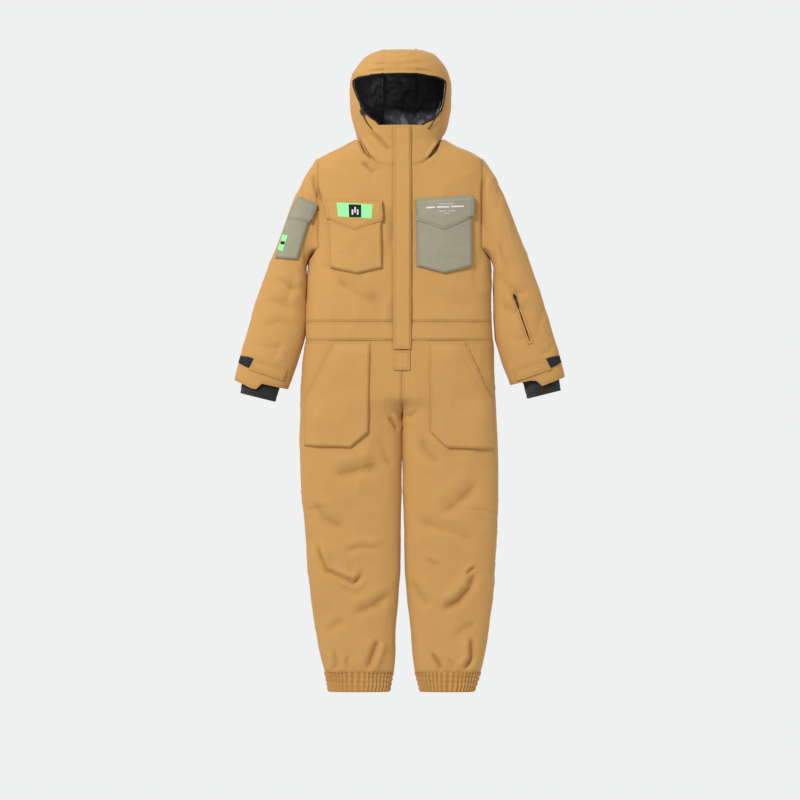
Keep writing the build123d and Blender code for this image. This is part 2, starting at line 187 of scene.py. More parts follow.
def fold(x, h, line, width, depth, lip=0.5, fade=0.25):
    """A fold along a line of (x, h): a valley, and a lip on its upper side when lip is positive."""
    pts = np.array(line, float)
    seg = np.diff(pts, axis=0)
    length = np.linalg.norm(seg, axis=1)
    start = np.concatenate([[0], np.cumsum(length)])
    best = np.full(np.shape(x), 1e9)
    side = np.zeros(np.shape(x))
    along = np.zeros(np.shape(x))
    for k in range(len(seg)):
        px, ph = x - pts[k, 0], h - pts[k, 1]
        t = np.clip((px * seg[k, 0] + ph * seg[k, 1]) / length[k] ** 2, 0, 1)
        dx, dh = px - t * seg[k, 0], ph - t * seg[k, 1]
        d = np.hypot(dx, dh)
        near = d < best
        best = np.where(near, d, best)
        sign = np.where(seg[k, 0] * ph - seg[k, 1] * px >= 0, 1.0, -1.0)
        side = np.where(near, sign, side)
        along = np.where(near, (start[k] + t * length[k]) / start[-1], along)
    s = best * side / width
    taper = step(0, fade, along) * step(0, fade, 1 - along)
    valley = -np.exp(-np.abs(s * 1.1) ** 1.35)
    ridge = abs(lip) * np.exp(-((s - np.sign(lip) * 1.7) ** 2) / 1.6)
    far = abs(lip) * 0.4 * np.exp(-((s + np.sign(lip) * 1.9) ** 2) / 2.2)
    return depth * taper * (valley + ridge + far)


# line of (x, height), width, depth, lip
FOLDS = [
    ([(-118, 1588), (-100, 1556), (-80, 1522)], 5, 5.0, 0.8),
    ([(-112, 1524), (-92, 1506), (-70, 1485)], 9, 4.5, 0.6),
    ([(-92, 1612), (-60, 1586), (-20, 1545)], 8, 6.0, 0.6),
    ([(116, 1580), (98, 1554), (78, 1522)], 5, 5.5, -0.8),
    ([(-255, 1505), (-241, 1450), (-224, 1392)], 7, 7.0, -0.6),
    ([(252, 1502), (241, 1452), (239, 1395), (240, 1349), (250, 1304)], 7, 7.0, 0.6),
    ([(-199, 622), (-120, 640), (-50, 660)], 24, 6.0, 0.6),
    ([(-244, 440), (-228, 390), (-210, 350), (-170, 331), (-132, 314), (-112, 335), (-106, 370)], 9, 7.5, 0.9),
    ([(-164, 404), (-110, 416), (-50, 412)], 12, 3.5, 0.8),
    ([(-141, 226), (-85, 246), (-18, 288)], 16, 5.0, 0.7),
    ([(-256, 386), (-190, 320), (-124, 276)], 12, 3.0, 0.5),
    ([(-93, 58), (-82, 96), (-60, 156)], 11, 9.0, -0.8),
    ([(-188, 58), (-182, 86), (-192, 122)], 8, 5.0, 0.6),
    ([(-145, 58), (-152, 82), (-146, 110)], 7, 4.0, 0.6),
    ([(105, 500), (170, 552), (235, 616)], 24, 4.5, 0.5),
    ([(35, 504), (120, 470), (228, 436)], 22, 4.0, 0.6),
    ([(188, 338), (203, 352), (218, 362)], 6, 5.0, 0.8),
    ([(218, 354), (200, 300), (166, 262), (112, 232)], 14, 8.0, -0.7),
    ([(80, 384), (92, 374), (104, 362)], 8, 4.0, 0.5),
    ([(30, 326), (58, 280), (94, 240)], 18, 4.0, 0.5),
    ([(180, 58), (206, 98), (205, 162)], 10, 8.5, 0.8),
    ([(120, 58), (112, 84), (88, 116)], 9, 6.0, -0.6),
    ([(150, 58), (152, 80), (140, 100)], 6, 3.0, -0.6),
    ([(-32, 794), (-16, 770), (-3, 750)], 7, 7.0, 0.7),
    ([(12, 800), (30, 790), (46, 812)], 9, 4.0, 0.6),
    ([(-60, 745), (-45, 690), (-28, 640)], 22, 3.5, 0.4),
    ([(55, 740), (75, 690), (120, 650)], 22, 3.5, 0.4),
    ([(-190, 1190), (-120, 1140), (-40, 1120)], 30, 3.5, 0.5),
    ([(60, 1170), (140, 1120), (230, 1100)], 32, 3.0, 0.5),
    ([(-30, 1400), (-22, 1330), (-30, 1250)], 18, 2.0, 0.5),
    ([(-235, 1240), (-180, 1195), (-150, 1150)], 20, 2.5, 0.5),
    ([(235, 1260), (215, 1200), (222, 1140)], 18, 2.5, 0.5),
    ([(-200, 905), (-150, 880), (-100, 868)], 26, 2.0, 0.4),
    ([(-255, 560), (-215, 500), (-150, 470)], 16, 3.5, 0.5),
    ([(150, 160), (190, 190), (225, 200)], 14, 2.5, 0.5),
    ([(-215, 170), (-180, 200), (-150, 210)], 14, 2.5, 0.5),
]


# the same for the back, which the front view can't settle
BACK_FOLDS = [
    ([(-170, 800), (-90, 772), (-20, 790)], 16, 5.0, 0.6),
    ([(20, 792), (95, 768), (180, 802)], 16, 5.0, 0.6),
    ([(-150, 700), (-90, 716), (-30, 706)], 15, 3.5, 0.5),
    ([(30, 690), (100, 712), (170, 700)], 15, 3.5, 0.5),
    ([(-230, 524), (-150, 502), (-60, 514)], 10, 6.0, 0.7),
    ([(-210, 482), (-140, 466), (-60, 478)], 9, 5.0, 0.6),
    ([(60, 514), (150, 498), (225, 522)], 10, 6.0, 0.7),
    ([(64, 472), (140, 460), (215, 482)], 9, 5.0, 0.6),
    ([(-160, 1124), (-80, 1102), (0, 1110), (90, 1098), (170, 1122)], 18, 4.5, 0.5),
    ([(-205, 1420), (-160, 1340), (-130, 1270)], 16, 4.5, 0.5),
    ([(205, 1420), (160, 1340), (130, 1270)], 16, 4.5, -0.5),
    ([(-120, 1210), (-40, 1190), (40, 1198), (110, 1180)], 20, 3.0, 0.5),
    ([(-190, 230), (-120, 252), (-50, 240)], 14, 4.5, 0.5),
    ([(60, 205), (130, 228), (200, 212)], 14, 4.5, 0.5),
    ([(-170, 58), (-160, 92), (-168, 126)], 9, 6.0, 0.7),
    ([(-90, 58), (-98, 90), (-84, 130)], 9, 6.0, -0.7),
    ([(90, 58), (84, 90), (98, 128)], 9, 6.0, 0.7),
    ([(170, 58), (178, 96), (166, 130)], 9, 6.0, -0.7),
]


def relief(p, face):
    """Height of the cloth above its smooth section, in mm. face runs from -1 at the front to 1 at the back."""
    x, h = p[..., 0], p[..., 2]
    front = step(0.15, -0.35, face)
    back = step(-0.2, 0.4, face)
    out = np.zeros(x.shape)
    for folds, share in ((FOLDS, front), (BACK_FOLDS, back)):
        for line, width, depth, lip in folds:
            pts = np.array(line)
            reach = 4 * width
            lo, hi = pts.min(0) - reach, pts.max(0) + reach
            near = (x > lo[0]) & (x < hi[0]) & (h > lo[1]) & (h < hi[1]) & (share > 0)
            if near.any():
                out[near] += share[near] * fold(x[near], h[near], line, width * 0.88, depth * 1.35, lip)
    soft = 2.2 * lattice(p, (150, 150, 190), 3) + 1.1 * lattice(p, (62, 62, 80), 7)
    soft += 0.45 * lattice(p, (26, 26, 30), 11) + 0.16 * lattice(p, (11, 11, 12), 13)
    ridged = 1 - np.abs(lattice(p + 40 * lattice(p, 120, 5)[..., None], (90, 90, 120), 17))
    soft += 2.4 * (ridged**3 - 0.35)
    ridged = 1 - np.abs(lattice(p + 50 * lattice(p, 140, 25)[..., None], (110, 110, 130), 27))
    soft += back * 4.5 * (ridged**4 - 0.2)
    return out + soft


# ---- mesh from grids
def normals(grid):
    """Outward unit normals of a grid of points."""
    du = np.gradient(grid, axis=1)
    dv = np.gradient(grid, axis=0)
    n = np.cross(du, dv)
    n /= np.linalg.norm(n, axis=2, keepdims=True) + 1e-9
    return n


def spacing(grid, axis):
    """Distance of each point from the grid's first line and from its last, along an axis, in mm."""
    seg = np.linalg.norm(np.diff(grid, axis=axis), axis=2)
    pad = [(0, 0), (0, 0)]
    pad[axis] = (1, 0)
    s = np.cumsum(np.pad(seg, pad), axis=axis)
    last = s[-1:, :] if axis == 0 else s[:, -1:]
    return s, last - s


FAR = 99.0  # mm: distance to the nearest sewn edge where there is none


class Cloth:
    """Collects grids into one mesh with real thickness, UVs in metres, and several materials."""

    def __init__(self, name):
        self.name, self.count = name, 0
        self.verts, self.faces, self.uvs, self.mats, self.slots, self.tones, self.seams = ([] for _ in range(7))

    def slot(self, material):
        if material not in self.slots:
            self.slots.append(material)
        return self.slots.index(material)

    def add(self, verts, faces, uvs, material, tone=None, seam=None):
        """Raw vertices (garment mm) and faces, with painted shade that darkens creases; seam is the distance to the
        nearest edge.
        """
        self.verts.append(np.asarray(verts, float))
        self.tones.append(np.zeros(len(verts)) if tone is None else tone)
        self.seams.append(np.full(len(verts), FAR) if seam is None else seam)
        self.faces += [tuple(int(i) + self.count for i in f) for f in faces]
        self.uvs += uvs
        self.mats += [self.slot(material)] * len(faces)
        self.count += len(verts)

    def grid(self, grid, material, thickness, closed=False, inside=None, tone=None, seam=None):
        """A sheet from a grid of points. closed joins its last column to its first."""
        g = np.asarray(grid, float)
        nv, nu = g.shape[:2]
        if closed:
            wrap = np.concatenate([g[:, -1:], g, g[:, :1]], 1)
            n = normals(wrap)[:, 1:-1]
        else:
            n = normals(g)
        inner = g - n * thickness
        su, _ = spacing(g, 1)
        sv, _ = spacing(g, 0)
        uv = np.stack([su * MM, sv * MM], 2)
        outer, inner_faces, outer_uv = [], [], []
        size = nv * nu
        for j in range(nv - 1):
            for i in range(nu if closed else nu - 1):
                k = (i + 1) % nu
                outer.append((j * nu + i, j * nu + k, (j + 1) * nu + k, (j + 1) * nu + i))
                inner_faces.append(tuple(v + size for v in outer[-1][::-1]))
                ub = uv[j, i] + (su[j, 1] * MM, 0) if k == 0 else uv[j, k]
                uc = uv[j + 1, i] + (su[j + 1, 1] * MM, 0) if k == 0 else uv[j + 1, k]
                outer_uv.append((uv[j, i], ub, uc, uv[j + 1, i]))
        rim, rim_uv, points_uv = [], [], uv.reshape(-1, 2)

        def edge(chain):
            for a, b in zip(chain, chain[1:]):
                rim.append((b, a, a + size, b + size))
                rim_uv.append((points_uv[b], points_uv[a], points_uv[a], points_uv[b]))

        top = list(range(nu)) + ([0] if closed else [])
        edge(top)
        edge([(nv - 1) * nu + i for i in top][::-1])
        if not closed:
            edge([j * nu + nu - 1 for j in range(nv)])
            edge([j * nu for j in range(nv)][::-1])
        base = self.count
        tones = np.concatenate([np.zeros(size) if tone is None else np.ravel(tone), np.zeros(size)])
        gaps = np.concatenate([np.full(size, FAR) if seam is None else np.ravel(seam), np.full(size, FAR)])
        self.add(np.concatenate([g.reshape(-1, 3), inner.reshape(-1, 3)]), outer, outer_uv, material, tones, gaps)
        inner_uv = [f[::-1] for f in outer_uv]
        for faces, uvs, look in ((inner_faces, inner_uv, inside or material), (rim, rim_uv, material)):
            self.faces += [tuple(i + base for i in f) for f in faces]
            self.uvs += uvs
            self.mats += [self.slot(look)] * len(faces)

    def build(self, smooth_faces=True):
        mesh = bpy.data.meshes.new(self.name)
        verts = row(np.concatenate(self.verts))
        mesh.from_pydata(verts.tolist(), [], self.faces)
        layer = mesh.uv_layers.new(name="UVMap")
        flat = np.array([c for f in self.uvs for c in f], dtype=np.float32)
        layer.data.foreach_set("uv", flat.ravel())
        for m in self.slots:
            mesh.materials.append(m)
        mesh.polygons.foreach_set("material_index", np.array(self.mats, dtype=np.int32))
        mesh.polygons.foreach_set("use_smooth", np.full(len(mesh.polygons), smooth_faces))
        for label, values in (("tone", self.tones), ("seam", self.seams)):
            layer = mesh.attributes.new(label, "FLOAT", "POINT")
            layer.data.foreach_set("value", np.concatenate(values).astype(np.float32))
        mesh.update()
        obj = bpy.data.objects.new(self.name, mesh)
        bpy.context.scene.collection.objects.link(obj)
        return obj


# ---- materials
class Net:
    """Short ways to add nodes to a material's or world's node tree."""

    def __init__(self, owner):
        owner.use_nodes = True
        self.nodes, self.link = owner.node_tree.nodes, owner.node_tree.links.new

    def new(self, kind):
        return self.nodes.new("ShaderNode" + kind)

    def set(self, shader, **values):
        for name, value in values.items():
            shader.inputs[name.replace("_", " ")].default_value = value

    def math(self, kind, a, b=None):
        node = self.new("Math")
        node.operation = kind
        for socket, value in zip(node.inputs, (a, b)):
            if isinstance(value, (int, float)):
                socket.default_value = value
            elif value is not None:
                self.link(value, socket)
        return node.outputs[0]

    def times(self, a, b):
        return self.math("MULTIPLY", a, b)

    def waves(self, along, length):
        """Sine of a coordinate in metres, with that wavelength."""
        return self.math("SINE", self.times(along, 2 * math.pi / length))

    def split(self, vector):
        node = self.new("SeparateXYZ")
        self.link(vector, node.inputs[0])
        return node.outputs

    def attribute(self, name):
        node = self.new("Attribute")
        node.attribute_name = name
        return node.outputs["Fac"]

    def noise(self, coords, scale, detail=3.0, rough=0.55):
        node = self.new("TexNoise")
        self.set(node, Scale=scale, Detail=detail, Roughness=rough)
        self.link(coords, node.inputs["Vector"])
        return node.outputs["Fac"]

    def ramp(self, value, low, high, a, b):
        node = self.new("MapRange")
        for socket, v in zip(node.inputs[1:5], (low, high, a, b)):
            socket.default_value = v
        self.link(value, node.inputs[0])
        return node.outputs[0]

    def mix(self, share, a, b):
        node = self.new("Mix")
        node.data_type = "RGBA"
        self.link(share, node.inputs["Factor"])
        for name, value in (("A", a), ("B", b)):
            socket = [i for i in node.inputs if i.name == name and i.type == "RGBA"][0]
            if isinstance(value, tuple):
                socket.default_value = (*value, 1)
            else:
                self.link(value, socket)
        return [o for o in node.outputs if o.type == "RGBA"][0]

    def finish(self, shader, colour, roughness, layers):
        """Colour, roughness and a chain of bumps: (height, strength, distance in metres)."""
        self.link(colour, shader.inputs["Base Color"])
        self.link(roughness, shader.inputs["Roughness"])
        last = None
        for height, strength, distance in layers:
            node = self.new("Bump")
            self.set(node, Strength=strength, Distance=distance)
            self.link(height, node.inputs["Height"])
            if last is not None:
                self.link(last, node.inputs["Normal"])
            last = node.outputs["Normal"]
        self.link(last, shader.inputs["Normal"])


def new_material(name):
    """Material, its node helpers, its shader, and its UV and object coordinates."""
    mat = bpy.data.materials.new(name)
    net = Net(mat)
    coords = net.new("TexCoord")
    return mat, net, net.nodes["Principled BSDF"], coords.outputs["UV"], coords.outputs["Object"]


def tinted(base, gain, add=0.0):
    return tuple(min(1, c * gain + add) for c in base)


STITCH_IN, STITCH_LENGTH = 6.0, 0.0042  # mm from a sewn edge, metres from stitch to stitch


def cloth_material(name, base, crease, thread, rough=0.82, sheen=0.12, weave=0.0011, fine=0.35, crinkle=0.0,
                   slub=0.05):
    """Woven cloth: weave and slubs in the bump, painted shade in the creases and along the stitching, and stitching
    along sewn edges.
    """
    mat, net, shader, uv, place = new_material(name)
    u, v, _ = net.split(uv)
    woven = net.times(net.waves(u, weave), net.waves(v, weave))
    broad, cloudy, grain = net.noise(place, 5.0, 3), net.noise(place, 42.0, 4), net.noise(place, 900.0, 2)
    darker, lighter = tuple(c * (1 - 2.2 * slub) for c in base), tinted(base, 1 + 1.6 * slub)
    # painted shade: the crease colour laid where folds, seam grooves and patch edges fall in shade
    colour = net.mix(net.ramp(net.attribute("tone"), 0, 1, 0, 1), base, crease)
    for value, low, high, at_low, at_high, tint in (
            (broad, 0.3, 0.7, 0, 0.45, darker), (cloudy, 0.45, 0.8, 0, 0.4, lighter),
            (grain, 0.35, 0.75, 0, 0.35, darker), (woven, -1, 1, 0.12, 0, darker)):
        colour = net.mix(net.ramp(value, low, high, at_low, at_high), colour, tint)
    off = net.math("ABSOLUTE", net.math("SUBTRACT", net.attribute("seam"), STITCH_IN))
    x, _, z = net.split(place)
    dash = net.ramp(net.waves(net.math("ADD", x, z), STITCH_LENGTH), -0.75, -0.45, 0, 1)
    stitch = net.times(net.ramp(off, 0.35, 0.75, 1, 0), dash)
    sunk = net.ramp(off, 0.6, 2.2, 1, 0)
    # painted shade in the dent along the stitching, in the crease colour
    colour = net.mix(net.times(sunk, 0.16), colour, crease)
    colour = net.mix(stitch, colour, thread)
    net.set(shader, Sheen_Weight=sheen, Sheen_Roughness=0.45, Specular_IOR_Level=0.3)
    layers = [(net.noise(place, 130.0, 3), 0.16, 0.0012), (woven, fine, 0.00016), (grain, 0.25, 0.00012)]
    if crinkle:
        layers.insert(0, (net.noise(place, 34.0, 5, 0.62), crinkle, 0.005))
    layers.append((net.math("SUBTRACT", stitch, sunk), 0.5, 0.0006))
    net.finish(shader, colour, net.ramp(cloudy, 0.3, 0.7, rough - 0.06, rough + 0.06), layers)
    return mat


def ribbed_material(name, base, rib_length=0.0026):
    """Ribbed knit: ribs run along the V of the piece's UVs."""
    mat, net, shader, uv, place = new_material(name)
    u, v, _ = net.split(uv)
    rib, loop, fuzz = net.waves(u, rib_length), net.waves(v, 0.0016), net.noise(place, 700.0, 3)
    light = tinted(base, 2.4, 0.004)
    # painted light and shade of the ribs: lighter on their crests, darker between them
    colour = net.mix(net.ramp(rib, -1, 1, 0, 0.6), base, light)
    colour = net.mix(net.ramp(fuzz, 0.4, 0.8, 0, 0.5), colour, light)
    net.set(shader, Sheen_Weight=0.2)
    net.finish(shader, colour, net.ramp(fuzz, 0.2, 0.8, 0.84, 0.96),
               [(rib, 0.8, 0.0009), (loop, 0.4, 0.0003), (fuzz, 0.3, 0.0002)])
    return mat


def hook_material(name, base):
    """Hook-and-loop tape: fine rows of hooks."""
    mat, net, shader, _, place = new_material(name)
    cells = net.new("TexVoronoi")
    net.set(cells, Scale=650.0)
    net.link(place, cells.inputs["Vector"])
    hooks, fuzz = cells.outputs["Distance"], net.noise(place, 400.0, 3)
    # painted highlight: lighter on the raised hooks, where the bump is highest
    colour = net.mix(net.ramp(hooks, 0.1, 0.7, 0, 0.8), base, tinted(base, 3, 0.006))
    net.finish(shader, colour, net.ramp(fuzz, 0.2, 0.8, 0.7, 0.95), [(hooks, 0.9, 0.0006), (fuzz, 0.3, 0.0004)])
    return mat


def hard_material(name, base, rough, metallic=0.0, coat=0.0):
    """Moulded plastic or painted metal with a fine texture, wear and dust."""
    mat, net, shader, _, place = new_material(name)
    speck, smear = net.noise(place, 1500.0, 2), net.noise(place, 60.0, 4)
    colour = net.mix(net.ramp(smear, 0.35, 0.75, 0, 0.5), base, tinted(base, 1.6, 0.01))
    net.set(shader, Metallic=metallic, Coat_Weight=coat)
    net.finish(shader, colour, net.ramp(smear, 0.3, 0.7, rough - 0.08, rough + 0.1),
               [(speck, 0.12, 0.00008), (smear, 0.05, 0.0005)])
    return mat


# each cloth's second colour is painted shade, laid into its creases, seam grooves and edges
TAN, TAN_SHADE, TAN_THREAD = (0.585, 0.316, 0.094), (0.32, 0.137, 0.026), (0.40, 0.205, 0.057)
SHELL = cloth_material("shell_fabric", TAN, TAN_SHADE, TAN_THREAD)
GREEN = cloth_material("contrast_fabric", (0.335, 0.315, 0.222), (0.14, 0.13, 0.085), (0.22, 0.21, 0.15))
LINING = cloth_material(
    "lining_fabric", (0.055, 0.055, 0.064), (0.012, 0.012, 0.015), (0.05, 0.05, 0.055),
    rough=0.34, sheen=0.0, fine=0.2, crinkle=0.9, slub=0.1)
BINDING = cloth_material("binding", (0.006, 0.006, 0.008), (0.002, 0.002, 0.002), (0.01, 0.01, 0.01), rough=0.7)
MINT = cloth_material("label_green", (0.33, 0.92, 0.36), (0.12, 0.5, 0.16), (0.25, 0.7, 0.3), weave=0.0007, slub=0.03)
BADGE = cloth_material("badge_black", (0.008, 0.008, 0.010), (0.003,) * 3, (0.01, 0.01, 0.01), weave=0.0007)
PRINT = cloth_material("print_white", (0.78, 0.78, 0.76), (0.5, 0.5, 0.5), (0.7, 0.7, 0.7), weave=0.0007)
TAPE = cloth_material("zip_tape", (0.012, 0.011, 0.012), (0.004,) * 3, (0.02, 0.02, 0.02), weave=0.0008)
LOOP = cloth_material("loop_tape", (0.014, 0.013, 0.014), (0.005,) * 3, (0.02, 0.02, 0.02), weave=0.0012)
KNIT = ribbed_material("knit_gaiter", (0.005, 0.005, 0.006))
HOOKS = hook_material("hook_tape", (0.003, 0.003, 0.004))
CORD = ribbed_material("cord_black", (0.010, 0.010, 0.011), 0.0009)
PLASTIC = hard_material("black_plastic", (0.012, 0.012, 0.014), 0.38, coat=0.15)
METAL = hard_material("zip_metal", (0.03, 0.03, 0.033), 0.34, metallic=0.7)


# ---- panels
def painted_crease_shade(d, gap):
    """Painted shade: darkening of deep folds and of the groove along a seam."""
    return np.clip(0.75 * np.clip((-d - 1.6) / 5.5, 0, 1) + 0.42 * bell(gap, 2.0), 0, 1)


def folded(x, h, folds):
    out = 0.0
    for line, width, depth, lip in folds:
        out = out + fold(x, h, line, width, depth, lip)
    return out


def edges_of(grid, sides):
    """Distance in mm of each point from the nearest sewn side: any of l, r (first, last column), b, t (rows)."""
    s, s_back = spacing(grid, 1)
    v, v_back = spacing(grid, 0)
    gap = np.full(grid.shape[:2], FAR)
    for side, d in (("l", s), ("r", s_back), ("b", v), ("t", v_back)):
        if side in sides:
            gap = np.minimum(gap, d)
    return gap


def dress(grid, sides, drop=2.6, pucker=0.5, extra=None, calm=1.0, fade="", quiet=0.0):
    """Displaces a smooth panel: folds, soft relief, rolled edges and puckers along its seams."""
    n = normals(grid)
    gap = edges_of(grid, sides)
    d = relief(grid, n[..., 1]) * calm
    if extra is not None:
        d = d + extra
    if fade:
        d = d * (1 - bell(edges_of(grid, fade), 14))
    gap = gap + FAR * quiet
    ripple = lattice(grid, (9, 9, 9), 41) * pucker * bell(gap, 13)
    flat_on = 0.2 + 0.8 * np.abs(n[..., 1]) ** 1.5
    groove = -drop * flat_on * bell(gap, 3.2) - 0.35 * bell(gap - 6, 1.2)
    return grid + n * (d + ripple + groove)[..., None], painted_crease_shade(d, gap), gap


def tree_of(*objs):
    """BVH of several objects in garment mm."""
    verts, faces = [], []
    for o in objs:
        base = len(verts)
        verts += [(v.co.x / MM, v.co.y / MM + LOOP_Y, v.co.z / MM + HOOK) for v in o.data.vertices]
        faces += [tuple(i + base for i in p.vertices) for p in o.data.polygons]
    return BVHTree.FromPolygons(verts, faces)


def panel(name, grid, sides, node=(), thickness=2.6, blend=None, tuck=None, **how):
    """One sewn panel from a smooth grid; tuck adds an allowance below its first row."""
    cloth = Cloth(name)
    g, tone, gap = dress(grid, sides, **how)
    if tuck is not None:
        under = [g[0] + tuck(g[0]) * k for k in (1.0, 0.5)]
        g = np.concatenate([np.array(under), g])
        tone, gap = (np.concatenate([a[:1], a[:1], a]) for a in (tone, gap))
    cloth.grid(g, SHELL, thickness, inside=LINING, tone=tone, seam=gap)
    return place(cloth.build(), "suit", node, blend)


def place(obj, body, nodes=(), blend=None, slot="shell_fabric"):
    if blend:
        tuple(row(blend[2]))
        tuple(row(blend[3]))
        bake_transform(obj)
    else:
        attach(obj, body)
    if nodes:
        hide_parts(*nodes)
    return obj


# torso: heights of the waistband, yoke seam, neck and shoulder, and x of the zip's and armholes' edges
BAND_LOW, BAND_HIGH, YOKE_SEAM, NECK_LOW, SHOULDER = 1009, 1063, 1424, 1506, 1588
ZIP_RIGHT, ZIP_LEFT, ARM_X, ARM_LOW = 3.0, 9.0, 238.0, 1238
NECK_X, NECK_H = (0, 62, 104, 122), (NECK_LOW, 1516, 1548, SHOULDER)


def neck_height(x):
    return np.interp(np.abs(x), NECK_X, NECK_H)


def neck_x(h):
    return np.interp(h, NECK_H, NECK_X)


def half_width(h, side):
    return -TORSO(h)[0] if side < 0 else TORSO(h)[1]


def torso_edge(h, side):
    """x of a body panel's outer boundary on one side: side seam, armhole or shoulder."""
    if h <= ARM_LOW:
        return side * half_width(h, side)
    if h < 1275:
        return side * np.interp(h, [ARM_LOW, 1275], [half_width(ARM_LOW, side), ARM_X])
    return side * min(half_width(h, side), ARM_X)


def rows_between(low, high, coarse=4.5, fine=2.5, fine_from=1490):
    hs = [low, low + 1.0, low + 2.2, low + 3.8]
    h = low + 6.5
    while h < high - 7:
        hs.append(h)
        h += coarse if h < fine_from else fine
    return hs + [high - 6.5, high - 3.8, high - 2.2, high - 1.0, high]


def torso_panel(side, low, high, centre):
    """Grid of a front body panel. side is -1 right, 1 left; centre is its inner x."""
    cols = shares(250, 4.6)
    grid = []
    for h in rows_between(low, high):
        inner = side * max(abs(centre), neck_x(h)) if h > NECK_LOW else centre
        a, b = sorted((torso_edge(h, side), inner))
        grid.append(at_height(resample(across(TORSO, h, -1, a, max(b, a + 0.5)), cols), h))
    return np.array(grid)


def back_panel(low, high):
    cols = shares(520, 4.8)
    grid = []
    for h in rows_between(low, high):
        line = resample(across(TORSO, h, 1, torso_edge(h, -1), torso_edge(h, 1)), cols)
        grid.append(at_height(line, h)[::-1])
    return np.array(grid)


bodice = {}
for word, side, centre in (("right", -1, ZIP_RIGHT), ("left", 1, ZIP_LEFT)):
    name = "bodice_front_" + word
    bodice[word] = panel(name, torso_panel(side, BAND_HIGH, SHOULDER, centre), "lrbt", [name])
panel("bodice_back", back_panel(BAND_HIGH, YOKE_SEAM), "lrbt", ["bodice_back"])
panel("back_yoke", back_panel(YOKE_SEAM, SHOULDER), "lrbt", ["back_yoke"])


def band_panel(side, face, centre):
    cols = shares(270 if centre is not None else 540, 4.6)
    grid = []
    for h in [1009, 1010, 1011.5, 1014, 1018, 1023, 1029, 1036, 1043, 1049, 1054, 1058, 1060.5, 1062, 1063]:
        a, b = (None, centre) if side < 0 else (centre, None)
        out = at_height(resample(across(TORSO, h, face, a, b), cols), h)
        grid.append(out[::-1] if face > 0 else out)
    return np.array(grid)


def gather(grid, amount):
    return amount * lattice(grid, (16, 30, 60), 51)


for word, side, face, centre, gathered in (
        ("front_right", -1, -1, ZIP_RIGHT, 0), ("front_left", 1, -1, ZIP_LEFT, 0), ("back", 0, 1, None, 2.0)):
    base = band_panel(side, face, centre)
    name = "waistband_" + word
    panel(name, base, "lrbt", [name], calm=0.6, extra=gather(base, gathered) if gathered else None)


# trousers, each a single sheet from waistband to ankle hem
def leg_row(side, h, face, cols):
    """Row of one trouser panel, from its side seam to its inner seam."""
    table = RIGHT_LEG if side < 0 else LEFT_LEG
    a, b, depth = table(min(h, 860))
    leg = resample(half_section(a, b, -depth, depth, face), cols)
    share = float(step(850, 772, h))
    if h > 770:
        hip = resample(across(HIPS, h, face, *((None, CENTRE_X) if side < 0 else (CENTRE_X, None))), cols)
    else:
        hip = leg
    return at_height(hip * (1 - share) + leg * share, h)


def leg_panel(side, face):
    cols = shares(330, 4.6)
    grid = np.array([leg_row(side, h, face, cols) for h in rows_between(56, BAND_LOW, 4.5, 4.5)])
    return grid if face < 0 else grid[:, ::-1]


DARTS = {-1: [(-279, 522), (-244, 528), (-208, 530)], 1: [(206, 526), (244, 522), (281, 513)]}
trousers = []
for side, word in ((-1, "right"), (1, "left")):
    middle = -137 if side < 0 else 143
    bend = ("suit", "lower_leg_" + word, (middle, 0, 520), (middle, 0, 400))
    for face, label in ((-1, "front"), (1, "back")):
        base = leg_panel(side, face)
        extra = fold(base[..., 0], base[..., 2], DARTS[side], 4.0, 2.6, 0.3 * side, 0.12) if face < 0 else None
        nodes = ["trouser_%s_%s" % (label, word), "lower_leg_%s_%s" % (label, word)]
        trousers.append(panel("trousers_%s_%s" % (label, word), base, "lrbt", node=nodes, blend=bend, extra=extra))


# elastic ankle hems
def ankle(side, word):
    table = RIGHT_LEG if side < 0 else LEFT_LEG
    count = 260
    angle = np.linspace(0, 2 * np.pi, count, endpoint=False)
    c, s = sup(np.cos(angle), np.sin(angle), 2.4)
    turns = 46
    phase = 2.2 * lattice(np.column_stack([60 * np.cos(angle), 60 * np.sin(angle), 0 * angle]), 26, 61 + side)
    grid = []
    for h in [0, 0.8, 2, 4, 7, 10, 13, 17, 21, 25, 28, 31, 35, 39, 42, 45, 49, 52, 54.5, 56.5, 58]:
        a, b, depth = table(max(h, 0))
        puff = 0.0
        for low, high in ((0, 14), (14, 28), (28, 42), (42, 58)):
            if low <= h <= high:
                puff = math.sin(math.pi * (h - low) / (high - low)) ** 0.6
        drift = 1.3 * lattice(np.column_stack([angle * 40, 0 * angle, 0 * angle + h * 1.5]), 30, 71 + side)
        wave = np.cos(turns * angle + phase + drift)
        out = 1.6 * puff + (1.1 + 1.4 * puff) * wave - 1.5
        half, mid = (b - a) / 2, (a + b) / 2
        x = mid + (half + out) * c
        y = (depth + out) * s
        grid.append(np.column_stack([x, y, np.full(count, h)]))
    grid = np.array(grid)
    cloth = Cloth("ankle_hem_" + word)
    # painted shade in the troughs of the gathers
    tone = np.clip(0.35 - 0.5 * np.cos(turns * angle + phase), 0, 1)[None, :].repeat(len(grid), 0)
    cloth.grid(grid, SHELL, 3.0, closed=True, inside=LINING, tone=tone)
    return place(cloth.build(), "lower_leg_" + word, ["ankle_hem_" + word])


for side, word in ((-1, "right"), (1, "left")):
    ankle(side, word)


# ---- sleeves
ELBOW = 0.32  # share of the sleeve's length where the forearm piece starts


